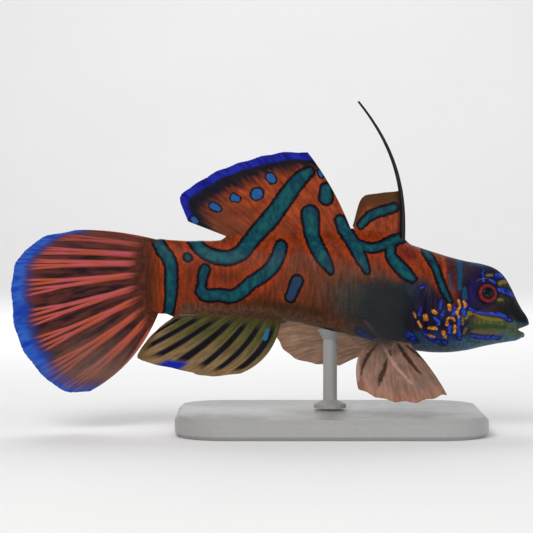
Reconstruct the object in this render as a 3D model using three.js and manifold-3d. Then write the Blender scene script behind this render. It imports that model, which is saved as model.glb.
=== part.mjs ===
// A male mandarinfish at life size, hovering on a plain display stand.
// Millimetres. +X is towards the snout, +Y is the fish's left, +Z is up.
// The origin is the middle of the base's underside, straight below the rod.
import * as THREE from 'three';
import { mergeVertices } from 'three/addons/utils/BufferGeometryUtils.js';
import Module from 'manifold-3d';

const wasm = await Module();
wasm.setup();

// Driving dimensions
const STANDARD_LENGTH = 55; // from the snout to the root of the tail fin
const GAP = 0.3; // kept between neighbouring pieces
const MEMBRANE = 0.5; // thickness of a fin between its rays
const FIN_EDGE = 0.3; // thickness of a fin at its outer edge
const SNOUT_X = 29.6;
const AXIS_Z = 21; // height of the line that the body's heights are measured from
const BASE_SIZE = { length: 46, width: 32, height: 3, corner: 7, bevel: 0.6 };

// The body, as shares of the standard length:
// distance behind the snout, height of the back, height of the belly, half width
const BODY = [
  [0.0, -0.076, -0.096, 0.015],
  [0.005, -0.067, -0.11, 0.0235],
  [0.015, -0.053, -0.128, 0.0325],
  [0.029, -0.027, -0.137, 0.042],
  [0.045, 0.007, -0.14, 0.0515],
  [0.064, 0.038, -0.143, 0.063],
  [0.089, 0.059, -0.147, 0.0765],
  [0.124, 0.071, -0.154, 0.092],
  [0.168, 0.079, -0.164, 0.105],
  [0.222, 0.093, -0.17, 0.1127],
  [0.282, 0.112, -0.168, 0.1145],
  [0.342, 0.131, -0.158, 0.1118],
  [0.408, 0.145, -0.142, 0.1045],
  [0.49, 0.151, -0.121, 0.0936],
  [0.577, 0.15, -0.1, 0.0827],
  [0.664, 0.145, -0.082, 0.0718],
  [0.762, 0.139, -0.07, 0.06],
  [0.866, 0.135, -0.064, 0.0482],
  [0.948, 0.135, -0.062, 0.0391],
  [1.0, 0.14, -0.065, 0.0327],
];
const WIDEST = 0.42; // height of the widest line, as a share of the depth
const BELLY_POWER = 2.3; // 2 is an ellipse, and more is squarer
const BACK_POWER = { trunk: 1.85, brow: 1.6, browAt: 0.12, browReach: 0.12 };
const NECK = 0.292; // where the head ends
const STALK = 0.845; // where the tail stalk starts
const AROUND = 28; // sides of the body's sections

// Small helpers
const clamp01 = (value) => Math.min(Math.max(value, 0), 1);
const mix = (a, b, share) => a + (b - a) * share;
const ease = (value) => clamp01(value) ** 2 * (3 - 2 * clamp01(value));
const behind = (share) => SNOUT_X - share * STANDARD_LENGTH;
const radians = THREE.MathUtils.degToRad;
const steps = (from, to, count) =>
  Array.from({ length: count + 1 }, (_, i) => mix(from, to, i / count));

// A smooth curve through one column of a table whose first column is the place
function smooth(rows, column) {
  const slopes = rows.map((_, i) => {
    const before = rows[Math.max(i - 1, 0)];
    const after = rows[Math.min(i + 1, rows.length - 1)];
    return (after[column] - before[column]) / (after[0] - before[0]);
  });
  return (place) => {
    const next = rows.findIndex((row, i) => i > 0 && row[0] >= place);
    const hi = next < 0 ? rows.length - 1 : next;
    const lo = hi - 1;
    const step = rows[hi][0] - rows[lo][0];
    const u = clamp01((place - rows[lo][0]) / step);
    return (
      rows[lo][column] * (2 * u ** 3 - 3 * u ** 2 + 1) +
      slopes[lo] * step * (u ** 3 - 2 * u ** 2 + u) +
      rows[hi][column] * (3 * u ** 2 - 2 * u ** 3) +
      slopes[hi] * step * (u ** 3 - u ** 2)
    );
  };
}

const backShare = smooth(BODY, 1);
const bellyShare = smooth(BODY, 2);
const widthShare = smooth(BODY, 3);
const backZ = (share) => AXIS_Z + backShare(share) * STANDARD_LENGTH;
const bellyZ = (share) => AXIS_Z + bellyShare(share) * STANDARD_LENGTH;

function backPower(share) {
  const brow = Math.exp(-(((share - BACK_POWER.browAt) / BACK_POWER.browReach) ** 2));
  return mix(BACK_POWER.trunk, BACK_POWER.brow, brow);
}

// A point of the skin: angle 0 is the left flank, 90 the back, 180 the right flank, -90 the belly
function bodyPoint(share, degrees, swell = 0) {
  const top = backZ(share) + swell;
  const bottom = bellyZ(share) - swell;
  const middle = mix(bottom, top, WIDEST);
  const across = Math.cos(radians(degrees));
  const up = Math.sin(radians(degrees));
  const power = up > 0 ? backPower(share) : BELLY_POWER;
  const reach = up > 0 ? top - middle : middle - bottom;
  const width = widthShare(share) * STANDARD_LENGTH + swell;
  return new THREE.Vector3(
    behind(share),
    width * Math.sign(across) * Math.abs(across) ** (2 / power),
    middle + reach * Math.sign(up) * Math.abs(up) ** (2 / power),
  );
}

// The half width of the body at a height
function halfWidthAt(share, z) {
  const middle = mix(bellyZ(share), backZ(share), WIDEST);
  const above = z > middle;
  const reach = above ? backZ(share) - middle : middle - bellyZ(share);
  const power = above ? backPower(share) : BELLY_POWER;
  const height = clamp01(Math.abs(z - middle) / reach);
  return widthShare(share) * STANDARD_LENGTH * (1 - height ** power) ** (1 / power);
}

// Geometry from points and triangles, turned to face outwards
function geometryOf(points, triangles) {
  const volume = triangles.reduce((sum, [a, b, c]) => {
    const cross = new THREE.Vector3().crossVectors(points[b], points[c]);
    return sum + points[a].dot(cross);
  }, 0);
  const facing = volume < 0 ? triangles.map(([a, b, c]) => [a, c, b]) : triangles;
  return new THREE.BufferGeometry().setFromPoints(points).setIndex(facing.flat());
}

// A closed tube of rings, with a flat cap at each end
function loft(rings) {
  const sides = rings[0].length;
  const points = rings.flat();
  const triangles = [];
  for (let ring = 0; ring < rings.length - 1; ring += 1) {
    for (let side = 0; side < sides; side += 1) {
      const a = ring * sides + side;
      const b = ring * sides + ((side + 1) % sides);
      triangles.push([a, b, b + sides], [a, b + sides, a + sides]);
    }
  }
  for (const ring of [0, rings.length - 1]) {
    const centre = points.length;
    const sum = new THREE.Vector3();
    rings[ring].forEach((point) => sum.add(point));
    points.push(sum.divideScalar(sides));
    for (let side = 0; side < sides; side += 1) {
      const a = ring * sides + side;
      const b = ring * sides + ((side + 1) % sides);
      triangles.push(ring === 0 ? [centre, b, a] : [centre, a, b]);
    }
  }
  return geometryOf(points, triangles);
}

function bodyLoft(shares, swell = 0) {
  const angles = steps(0, 360, AROUND).slice(0, AROUND);
  return loft(shares.map((share) => angles.map((angle) => bodyPoint(share, angle, swell))));
}

// A round tube along a list of points, thinner or thicker by its own radius at each
function tube(path, radiusAt, sides) {
  const curve = new THREE.CatmullRomCurve3(path);
  const rings = path.map((centre, i) => {
    const along = curve.getTangent(i / (path.length - 1));
    const across = new THREE.Vector3(0, 1, 0).cross(along).normalize();
    if (across.lengthSq() < 0.5) across.set(1, 0, 0);
    const up = new THREE.Vector3().crossVectors(along, across).normalize();
    return steps(0, 2 * Math.PI, sides).slice(0, sides).map((angle) => {
      const radius = radiusAt(i / (path.length - 1));
      return centre.clone()
        .addScaledVector(across, radius * Math.cos(angle))
        .addScaledVector(up, radius * Math.sin(angle));
    });
  });
  return loft(rings);
}

// Joining and cutting
function solidOf(geometry) {
  const plain = geometry.clone();
  plain.deleteAttribute('normal');
  plain.deleteAttribute('uv');
  const merged = mergeVertices(plain, 1e-4);
  return new wasm.Manifold(new wasm.Mesh({
    numProp: 3,
    vertProperties: merged.attributes.position.array,
    triVerts: new Uint32Array(merged.index.array),
  }));
}

function geometryFrom(solid) {
  const largest = solid.decompose().sort((a, b) => b.volume() - a.volume())[0];
  const mesh = largest.getMesh();
  const geometry = new THREE.BufferGeometry();
  geometry.setAttribute('position', new THREE.BufferAttribute(mesh.vertProperties, 3));
  return geometry.setIndex(new THREE.BufferAttribute(mesh.triVerts, 1));
}

const join = (first, ...others) =>
  geometryFrom(others.reduce((sum, other) => sum.add(solidOf(other)), solidOf(first)));
const cut = (first, ...others) =>
  geometryFrom(others.reduce((rest, other) => rest.subtract(solidOf(other)), solidOf(first)));

// A fin: one sheet that its rays carry, with a ridge over each ray on both faces.
// Each ray bends from its root past its middle to its tip, and a forked ray parts in its outer half.
function fin({ rays, rows, ridge, foot = 0.24, forked = false, rootThickness = 0, scallop = 0.02 }) {
  const [roots, middles, tips] = ['root', 'middle', 'tip'].map(
    (name) => new THREE.CatmullRomCurve3(rays.map((ray) => ray[name])),
  );
  const pitch = 1 / (rays.length - 1);
  const columns = [];
  rays.forEach((_, ray) => {
    const crests = forked
      ? [[-0.5, 1, 0], [0, 1, 1], [0.5, 1, 0]]
      : [[0, 1, 0]];
    const all = [[-1, 0, 0], ...crests, [1, 0, 0]];
    all.forEach(([offset, height, valley]) => {
      const outside = (ray === 0 && offset < 0) || (ray === rays.length - 1 && offset > 0);
      if (!outside) columns.push({ ray, offset, height, valley });
    });
  });
  const sheet = (t, s) => roots.getPoint(t).multiplyScalar((1 - s) ** 2)
    .addScaledVector(middles.getPoint(t), 2 * s * (1 - s))
    .addScaledVector(tips.getPoint(t), s ** 2);
  const front = [];
  const rear = [];
  columns.forEach(({ ray, offset, height, valley }) => {
    steps(0, 1, rows).forEach((share) => {
      const spread = offset * foot * (forked && height ? mix(0.5, 1.1, share) : 1);
      const t = clamp01((ray + spread) * pitch);
      const s = share * (1 - (height && !valley ? 0 : scallop));
      const fork = valley * ease((share - 0.45) / 0.2);
      const crest = ridge * height * (1 - fork) * (1 - 0.5 * share);
      const flesh = Math.max(rootThickness - MEMBRANE - crest, 0) * (1 - clamp01(share / 0.16)) ** 2;
      const full = MEMBRANE + crest + flesh;
      const thickness = mix(full, FIN_EDGE + 0.3 * crest, ease((share - 0.8) / 0.2));
      const step = 1e-3;
      const alongFin = sheet(Math.min(t + step, 1), s).sub(sheet(Math.max(t - step, 0), s));
      const alongRay = sheet(t, s + step).sub(sheet(t, s - step));
      const normal = new THREE.Vector3().crossVectors(alongFin, alongRay).normalize();
      const point = sheet(t, s);
      front.push(point.clone().addScaledVector(normal, thickness / 2));
      rear.push(point.addScaledVector(normal, -thickness / 2));
    });
  });
  const points = [...front, ...rear];
  const high = rows + 1;
  const opposite = front.length;
  const triangles = [];
  for (let column = 0; column < columns.length - 1; column += 1) {
    for (let row = 0; row < rows; row += 1) {
      const a = column * high + row;
      const b = a + high;
      for (const [p, q, r] of [[a, b, b + 1], [a, b + 1, a + 1]]) {
        triangles.push([p, q, r], [p + opposite, r + opposite, q + opposite]);
      }
    }
  }
  const last = (columns.length - 1) * high;
  const rim = [
    ...steps(0, rows, rows),
    ...steps(1, columns.length - 1, columns.length - 2).map((column) => column * high + rows),
    ...steps(rows - 1, 0, rows - 1).map((row) => last + row),
    ...steps(columns.length - 2, 1, columns.length - 3).map((column) => column * high),
  ].map(Math.round);
  rim.forEach((a, i) => {
    const b = rim[(i + 1) % rim.length];
    triangles.push([a, b, b + opposite], [a, b + opposite, a + opposite]);
  });
  return geometryOf(points, triangles);
}

// A ray of a fin on the body's middle plane, from its root, its length and its lean
// above straight back in degrees. It bows forwards by a share of its length,
// and its tip sways to the left.
function flatRay(root, length, lean, bend, sway = 0) {
  const angle = radians(lean);
  const along = new THREE.Vector3(-Math.cos(angle), 0, Math.sin(angle));
  const forward = new THREE.Vector3(along.z, 0, -along.x).multiplyScalar(bend);
  const tip = root.clone().addScaledVector(along, length);
  const middle = root.clone().lerp(tip, 0.5).addScaledVector(forward, length);
  tip.y += sway;
  return { root, tip, middle };
}

// Materials
const paint = (color, roughness = 0.4) =>
  new THREE.MeshStandardMaterial({ color, roughness, metalness: 0 });
const ORANGE_SKIN = paint(0xb8441a);
const BLUE_SKIN = paint(0x14244a);
const ORANGE_FIN = paint(0xb0501f, 0.5);
const TAIL_FIN = paint(0x8a3f33, 0.5);
const ANAL_FIN = paint(0x8f8350, 0.5);
const PALE_FIN = paint(0xa98a78, 0.5);
const GREY_FIN = paint(0x4a5560, 0.5);
const EYE = paint(0x1a0d14, 0.1);
const STAND = paint(0x9c9b99, 0.3);

const group = new THREE.Group();
function add(name, geometry, material) {
  const mesh = new THREE.Mesh(geometry, material);
  mesh.name = name;
  group.add(mesh);
  return mesh;
}

// Eyes: a ball in a raised orbit high on each side of the head
const EYE_BALL = { radius: 2.1, share: 0.1205, height: -0.0125, inset: 1.2 };
const EYE_LOOK = { forward: 0.14, up: 0.26 };
const ORBIT = { wall: 0.75, opening: 1.78, sides: 20 };

function eyeCentre(side) {
  const z = AXIS_Z + EYE_BALL.height * STANDARD_LENGTH;
  const y = halfWidthAt(EYE_BALL.share, z) - EYE_BALL.inset;
  return new THREE.Vector3(behind(EYE_BALL.share), side * y, z);
}

function eyeLook(side) {
  return new THREE.Vector3(EYE_LOOK.forward, side, EYE_LOOK.up).normalize();
}

function eyeBall(side, radius, sides) {
  const ball = new THREE.SphereGeometry(radius, sides, Math.round(sides / 2));
  ball.applyQuaternion(new THREE.Quaternion().setFromUnitVectors(
    new THREE.Vector3(0, 1, 0),
    eyeLook(side),
  ));
  const centre = eyeCentre(side);
  return ball.translate(centre.x, centre.y, centre.z);
}

// The skin bulges over the ball and leaves a round opening, on a plane across the look
function orbit(side) {
  const socket = EYE_BALL.radius + GAP;
  const plane = Math.sqrt(socket ** 2 - ORBIT.opening ** 2);
  const size = 8;
  const inFront = new THREE.BoxGeometry(size, size, size).translate(0, 0, size / 2 + plane);
  inFront.applyQuaternion(new THREE.Quaternion().setFromUnitVectors(
    new THREE.Vector3(0, 0, 1),
    eyeLook(side),
  ));
  const centre = eyeCentre(side);
  inFront.translate(centre.x, centre.y, centre.z);
  return cut(eyeBall(side, socket + ORBIT.wall, ORBIT.sides), inFront);
}

// Mouth: a small wedge that opens forwards, with a lip along each edge
const MOUTH = { corner: 0.044, cornerZ: -0.1035, upperZ: -0.094, lowerZ: -0.1175, lip: 0.42 };
const LIPS = { upperEnd: 0.0015, lowerEnd: 0.0135 };

function mouthWedge() {
  const up = (share) => AXIS_Z + share * STANDARD_LENGTH;
  const reach = 2;
  const outline = new THREE.Shape([
    new THREE.Vector2(behind(MOUTH.corner), up(MOUTH.cornerZ) - 0.12),
    new THREE.Vector2(SNOUT_X, up(MOUTH.lowerZ)),
    new THREE.Vector2(SNOUT_X + reach, up(MOUTH.lowerZ) - 0.5),
    new THREE.Vector2(SNOUT_X + reach, up(MOUTH.upperZ) + 0.3),
    new THREE.Vector2(SNOUT_X, up(MOUTH.upperZ)),
    new THREE.Vector2(behind(MOUTH.corner), up(MOUTH.cornerZ) + 0.12),
  ]);
  const depth = 10;
  const wedge = new THREE.ExtrudeGeometry(outline, { depth, bevelEnabled: false });
  return wedge.rotateX(Math.PI / 2).translate(0, depth / 2, 0);
}

// The lip follows the skin round the snout from one corner of the mouth to the other
function lip(endShare, endZ) {
  const halfSteps = 4;
  const path = steps(-1, 1, 2 * halfSteps).map((place) => {
    const share = mix(endShare, MOUTH.corner, Math.abs(place) ** 1.6);
    const z = AXIS_Z + mix(endZ, MOUTH.cornerZ, Math.abs(place) ** 1.6) * STANDARD_LENGTH;
    const y = Math.sign(place) * halfWidthAt(share, z) * Math.min(1, Math.abs(place) ** 0.8);
    return new THREE.Vector3(behind(share), y, z);
  });
  return tube(path, (along) => mix(MOUTH.lip, 0.25, Math.abs(2 * along - 1) ** 3), 6);
}

// Nostrils: one short tube in front of each eye
const NOSTRIL = { share: 0.06, height: -0.005, radius: 0.36, length: 1 };

function nostril(side) {
  const z = AXIS_Z + NOSTRIL.height * STANDARD_LENGTH;
  const y = side * halfWidthAt(NOSTRIL.share, z);
  const cylinder = new THREE.CylinderGeometry(0.7 * NOSTRIL.radius, NOSTRIL.radius, NOSTRIL.length, 6);
  cylinder.applyQuaternion(new THREE.Quaternion().setFromUnitVectors(
    new THREE.Vector3(0, 1, 0),
    new THREE.Vector3(0.55, side * 0.7, 0.45).normalize(),
  ));
  return cylinder.translate(behind(NOSTRIL.share), y, z);
}

// Gill cover: a low fold down each cheek, with the round gill opening at its top
const GILL = { share: 0.252, sweep: 0.026, top: 50, bottom: -50, radius: 0.8, sink: 0.35 };
const GILL_HOLE = { share: 0.268, angle: 57, radius: 0.7 };

function onSide(side, degrees) {
  return side > 0 ? degrees : 180 - degrees;
}

function gillFold(side) {
  const path = steps(0, 1, 8).map((place) => {
    const share = GILL.share + GILL.sweep * Math.sin(Math.PI * place);
    const angle = mix(GILL.top, GILL.bottom, place);
    return bodyPoint(share, onSide(side, angle), -GILL.sink);
  });
  return tube(path, (along) => mix(0.3, GILL.radius, Math.sin(Math.PI * along)), 6);
}

function gillHole(side) {
  const at = bodyPoint(GILL_HOLE.share, onSide(side, GILL_HOLE.angle));
  return new THREE.SphereGeometry(GILL_HOLE.radius, 8, 6).translate(at.x, at.y, at.z);
}

// Head, trunk and tail stalk
const headShares = [
  ...BODY.slice(0, 10).map((row) => row[0]),
  ...steps(0.245, NECK, 2),
];
const SIDES = [['right', -1], ['left', 1]];

function headGeometry() {
  const added = SIDES.flatMap(([, side]) =>
    [orbit(side), gillFold(side), nostril(side)]);
  const removed = SIDES.flatMap(([, side]) =>
    [eyeBall(side, EYE_BALL.radius + GAP, ORBIT.sides), gillHole(side)]);
  const whole = join(bodyLoft(headShares), ...added);
  const opened = cut(whole, mouthWedge());
  const lipped = join(
    opened,
    lip(LIPS.upperEnd, MOUTH.upperZ + 0.004),
    lip(LIPS.lowerEnd, MOUTH.lowerZ - 0.006),
  );
  return cut(lipped, ...removed);
}

const gapShare = GAP / STANDARD_LENGTH;
add('head', headGeometry(), BLUE_SKIN);
add('trunk', bodyLoft(steps(NECK + gapShare, STALK - gapShare, 15)), ORANGE_SKIN);
add('tail_stalk', bodyLoft(steps(STALK, 1, 5)), ORANGE_SKIN);
SIDES.forEach(([name, side]) => add(`eye_${name}`, eyeBall(side, EYE_BALL.radius, 20), EYE));

// Second dorsal fin: length as a share of the standard length, lean and bend, for each ray
const SECOND_DORSAL = {
  from: 0.478,
  to: 0.811,
  rays: [
    [0.251, 60.9, 0.08], [0.26, 57.8, 0.06], [0.26, 53.8, 0.045], [0.257, 48.9, 0.035],
    [0.251, 43.6, 0.03], [0.237, 37.5, 0.02], [0.214, 30.6, 0.01], [0.123, 21.7, 0],
  ],
  sway: 0.9,
};

function secondDorsalRays() {
  const { from, to, rays, sway } = SECOND_DORSAL;
  return rays.map(([length, lean, bend], i) => {
    const place = i / (rays.length - 1);
    const share = mix(from, to, place);
    const root = new THREE.Vector3(behind(share), 0, backZ(share) + GAP);
    return flatRay(root, length * STANDARD_LENGTH, lean, bend, sway * Math.sin(1.3 * Math.PI * place));
  });
}

add('dorsal_fin_second', fin({
  rays: secondDorsalRays(),
  rows: 9,
  ridge: 0.4,
  rootThickness: 1.1,
}), ORANGE_FIN);

// First dorsal fin: four spines, of which a male's first runs on as a long thread
const FIRST_DORSAL = {
  spines: [[0.342, 0.136, 90.5], [0.38, 0.121, 81.6], [0.419, 0.105, 72], [0.466, 0.019, 63.7]],
};
const THREAD = { height: 0.377, sweep: 0.12, bow: 0.006, power: 2.4, root: 0.5, tip: 0.2, steps: 14 };

function firstDorsal() {
  const rays = FIRST_DORSAL.spines.map(([share, length, lean]) => {
    const root = new THREE.Vector3(behind(share), 0, backZ(share) + GAP);
    return flatRay(root, length * STANDARD_LENGTH, lean, 0.03);
  });
  const start = rays[0].root;
  const path = steps(0, 1, THREAD.steps).map((place) => new THREE.Vector3(
    start.x + (THREAD.bow * Math.sin(Math.PI * place)
      - THREAD.sweep * place ** THREAD.power) * STANDARD_LENGTH,
    0,
    start.z + THREAD.height * STANDARD_LENGTH * place,
  ));
  const thread = tube(path, (along) => mix(THREAD.root, THREAD.tip, along), 8);
  return join(fin({ rays, rows: 6, ridge: 0.4, rootThickness: 0.9 }), thread);
}

add('dorsal_fin_first', firstDorsal(), ORANGE_FIN);

// Anal fin: place of the root, length, lean and bend for each ray. Its rear rays lean to
// the left, beside the foot of the tail fin.
const ANAL = {
  rays: [
    [0.672, 0.181, -51.9, -0.29], [0.706, 0.215, -46.2, -0.2], [0.74, 0.222, -44.4, -0.14],
    [0.777, 0.221, -41.8, -0.08], [0.818, 0.239, -34.3, -0.06], [0.862, 0.235, -30, -0.05],
    [0.91, 0.159, -30.9, 0.02], [0.956, 0.07, -38.8, 0.05],
  ],
  aside: 1.7,
};

function analRays() {
  return ANAL.rays.map(([share, length, lean, bend], i) => {
    const root = new THREE.Vector3(behind(share), 0, bellyZ(share) - GAP);
    const aside = ANAL.aside * ease(i / (ANAL.rays.length - 1));
    const ray = flatRay(root, length * STANDARD_LENGTH, lean, bend, aside);
    ray.middle.y += 0.5 * aside;
    return ray;
  });
}

add('anal_fin', fin({ rays: analRays(), rows: 8, ridge: 0.4, rootThickness: 0.9 }), ANAL_FIN);

// Tail fin: a drooping fan of ten rays, most of them forked
const CAUDAL = {
  rootTop: 0.136,
  rootBottom: -0.06,
  rays: [
    [0.233, 6.5, 0.08], [0.315, 5.8, 0.04], [0.368, 2.1, 0.02], [0.394, 0, 0.01], [0.406, -6.6, 0],
    [0.413, -16.5, -0.01], [0.406, -25, -0.02], [0.382, -34.9, -0.04], [0.347, -43.2, -0.08],
    [0.286, -48.9, -0.19],
  ],
  sway: 1.5,
};

function caudalRays() {
  return CAUDAL.rays.map(([length, lean, bend], i) => {
    const place = i / (CAUDAL.rays.length - 1);
    const height = mix(CAUDAL.rootTop, CAUDAL.rootBottom, place);
    const root = new THREE.Vector3(behind(1) - GAP, 0, AXIS_Z + height * STANDARD_LENGTH);
    const sway = CAUDAL.sway * Math.cos(1.2 * Math.PI * place);
    return flatRay(root, length * STANDARD_LENGTH, lean, bend, sway);
  });
}

add('caudal_fin', fin({
  rays: caudalRays(),
  rows: 10,
  ridge: 0.35,
  foot: 0.34,
  forked: true,
  rootThickness: 2.6,
}), TAIL_FIN);

// Pectoral fins: a fan of fine rays behind each gill cover, held a little off the flank
const PECTORAL = {
  share: 0.325, topAngle: 12, bottomAngle: -30, rays: 14, topPitch: 36, bottomPitch: -30,
  length: 0.115, belly: 0.11, spread: 34,
};

function pectoralRays(side) {
  return steps(0, 1, PECTORAL.rays - 1).map((place) => {
    const angle = onSide(side, mix(PECTORAL.topAngle, PECTORAL.bottomAngle, place));
    const root = bodyPoint(PECTORAL.share, angle, GAP + 0.1);
    const pitch = radians(mix(PECTORAL.topPitch, PECTORAL.bottomPitch, place));
    const spread = radians(PECTORAL.spread);
    const length = (PECTORAL.length + PECTORAL.belly * Math.sin(Math.PI * place)) * STANDARD_LENGTH;
    const tip = root.clone().addScaledVector(new THREE.Vector3(
      -Math.cos(spread) * Math.cos(pitch),
      side * Math.sin(spread),
      Math.cos(spread) * Math.sin(pitch),
    ), length);
    const middle = root.clone().lerp(tip, 0.5).addScaledVector(new THREE.Vector3(0, side, 0), 0.06 * length);
    return { root, middle, tip };
  });
}

SIDES.forEach(([name, side]) => add(
  `pectoral_fin_${name}`,
  fin({ rays: pectoralRays(side), rows: 6, ridge: 0.3, foot: 0.3, scallop: 0.02 }),
  GREY_FIN,
));

// Pelvic fins: one spine and five soft rays on broad roots under the throat.
// Each tip is forward of its root, outward and up, as shares of the standard length,
// and each ray bows backwards by a share of its reach.
const PELVIC = {
  from: 0.318, to: 0.418, angle: -56,
  right: [
    [0.085, 0.1, -0.118, 0], [0.068, 0.145, -0.128, 0], [0.038, 0.18, -0.14, 0.02],
    [0.005, 0.15, -0.146, 0.06], [-0.025, 0.135, -0.14, 0.14], [-0.05, 0.11, -0.126, 0.27],
  ],
  left: [
    [-0.19, 0.055, -0.064, 0], [-0.235, 0.085, -0.066, 0], [-0.27, 0.105, -0.058, 0],
    [-0.288, 0.115, -0.034, 0], [-0.288, 0.11, 0.0, 0.03], [-0.265, 0.09, 0.03, 0.06],
  ],
};

function pelvicRays(side, tips) {
  return tips.map(([forward, outward, up, bow], i) => {
    const share = mix(PELVIC.from, PELVIC.to, i / (tips.length - 1));
    const root = bodyPoint(share, onSide(side, PELVIC.angle), GAP + 0.25);
    const reach = new THREE.Vector3(forward, side * outward, up).multiplyScalar(STANDARD_LENGTH);
    const tip = root.clone().add(reach);
    const lift = new THREE.Vector3(-bow, 0.05 * side, 0.1 + 0.6 * bow).multiplyScalar(reach.length());
    return { root, tip, middle: root.clone().lerp(tip, 0.5).add(lift) };
  });
}

SIDES.forEach(([name, side]) => add(
  `pelvic_fin_${name}`,
  fin({ rays: pelvicRays(side, PELVIC[name]), rows: 8, ridge: 0.4, scallop: 0.05 }),
  PALE_FIN,
));

// Stand: a flat base with rounded corners, and one rod cut to fit under the belly
function baseGeometry() {
  const { length, width, height, corner, bevel } = BASE_SIZE;
  const x = length / 2 - bevel;
  const y = width / 2 - bevel;
  const outline = new THREE.Shape()
    .moveTo(-x + corner, -y)
    .lineTo(x - corner, -y)
    .absarc(x - corner, -y + corner, corner, -Math.PI / 2, 0)
    .lineTo(x, y - corner)
    .absarc(x - corner, y - corner, corner, 0, Math.PI / 2)
    .lineTo(-x + corner, y)
    .absarc(-x + corner, y - corner, corner, Math.PI / 2, Math.PI)
    .lineTo(-x, -y + corner)
    .absarc(-x + corner, -y + corner, corner, Math.PI, 1.5 * Math.PI);
  return new THREE.ExtrudeGeometry(outline, {
    depth: height - 2 * bevel,
    bevelThickness: bevel,
    bevelSize: bevel,
    bevelSegments: 1,
    curveSegments: 6,
  }).translate(0, 0, bevel);
}

const ROD = { radius: 1.05, collar: 2.4, collarHeight: 1.2, cup: 1.9 };

function rodGeometry() {
  const floor = BASE_SIZE.height + GAP;
  const top = AXIS_Z - 3;
  const profile = [
    [0, floor], [ROD.collar, floor], [ROD.collar, floor + 0.5 * ROD.collarHeight],
    [ROD.radius, floor + ROD.collarHeight], [ROD.radius, top - 4.4], [ROD.cup, top - 3], [ROD.cup, top],
    [0, top],
  ].map(([radius, z]) => new THREE.Vector2(radius, z));
  const rod = new THREE.LatheGeometry(profile, 20).rotateX(Math.PI / 2);
  const rodShare = SNOUT_X / STANDARD_LENGTH;
  return cut(rod, bodyLoft(steps(rodShare - 0.15, rodShare + 0.15, 8), GAP));
}

add('stand_base', baseGeometry(), STAND);
add('stand_rod', rodGeometry(), STAND);

export default group;
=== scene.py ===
"""A male mandarinfish at life size, hovering over a plain display stand.

Shapes are worked out in millimetres in the CAD model's frame and turned into metres at the end.
Markings are placed on the side view in the photograph's pixels, and on the left side they wander a little.
"""

import math

import bpy
import numpy as np
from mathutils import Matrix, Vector


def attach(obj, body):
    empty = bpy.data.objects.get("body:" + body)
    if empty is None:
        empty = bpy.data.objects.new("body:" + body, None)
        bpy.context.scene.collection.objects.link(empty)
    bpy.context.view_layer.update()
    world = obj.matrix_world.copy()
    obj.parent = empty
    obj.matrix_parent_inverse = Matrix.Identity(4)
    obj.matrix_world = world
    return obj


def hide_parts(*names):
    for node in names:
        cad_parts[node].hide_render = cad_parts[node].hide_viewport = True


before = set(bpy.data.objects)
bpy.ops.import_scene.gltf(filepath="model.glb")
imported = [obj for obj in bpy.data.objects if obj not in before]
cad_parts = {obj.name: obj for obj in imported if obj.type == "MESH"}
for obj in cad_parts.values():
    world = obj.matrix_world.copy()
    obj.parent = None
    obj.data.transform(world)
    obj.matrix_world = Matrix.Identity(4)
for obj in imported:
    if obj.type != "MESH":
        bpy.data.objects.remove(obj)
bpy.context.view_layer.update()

# Driving sizes, in millimetres
MM = 0.001
STANDARD_LENGTH = 55
SNOUT_X = 29.6
AXIS_Z = 21
WIDEST = 0.42
BELLY_POWER = 2.3
BACK_POWER = {"trunk": 1.85, "brow": 1.6, "brow_at": 0.12, "brow_reach": 0.12}
SIDES = {"right": -1, "left": 1}

# How the photograph lies on the fish's middle plane
PIXEL = 0.15
SNOUT_PIXEL = 527.5
AXIS_PIXEL = 290
PHOTO_SIZE = 533
CAMERA = {"lens": 150.0, "sensor": 36.0, "elevation": 2.0}
VIEW_DISTANCE = PHOTO_SIZE * PIXEL * CAMERA["lens"] / CAMERA["sensor"]

# The body, as shares of the standard length: place behind the snout, back, belly, half width
BODY = np.array([
    [0.0, -0.076, -0.096, 0.015],
    [0.005, -0.067, -0.11, 0.0235],
    [0.015, -0.053, -0.128, 0.0325],
    [0.029, -0.027, -0.137, 0.042],
    [0.045, 0.007, -0.14, 0.0515],
    [0.064, 0.038, -0.143, 0.063],
    [0.089, 0.059, -0.147, 0.0765],
    [0.124, 0.071, -0.154, 0.092],
    [0.168, 0.079, -0.164, 0.105],
    [0.222, 0.093, -0.17, 0.1127],
    [0.282, 0.112, -0.168, 0.1145],
    [0.342, 0.131, -0.158, 0.1118],
    [0.408, 0.145, -0.142, 0.1045],
    [0.49, 0.151, -0.121, 0.0936],
    [0.577, 0.15, -0.1, 0.0827],
    [0.664, 0.145, -0.082, 0.0718],
    [0.762, 0.139, -0.07, 0.06],
    [0.866, 0.135, -0.064, 0.0482],
    [0.948, 0.135, -0.062, 0.0391],
    [1.0, 0.14, -0.065, 0.0327],
])

rng = np.random.default_rng(11)


# Small helpers

def mix(a, b, share):
    return a + (b - a) * share


def ease(value, low=0.0, high=1.0):
    u = np.clip((np.asarray(value, float) - low) / (high - low), 0, 1)
    return u * u * (3 - 2 * u)


def unit(vectors):
    vectors = np.asarray(vectors, float)
    length = np.linalg.norm(vectors, axis=-1, keepdims=True)
    return vectors / np.maximum(length, 1e-12)


def linear(red, green, blue):
    """A colour given as 0 to 255 on the screen, as the shader wants it."""
    channels = np.array([red, green, blue]) / 255
    return np.where(channels <= 0.04045, channels / 12.92, ((channels + 0.055) / 1.055) ** 2.4)


def behind(share):
    return SNOUT_X - np.asarray(share, float) * STANDARD_LENGTH


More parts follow.
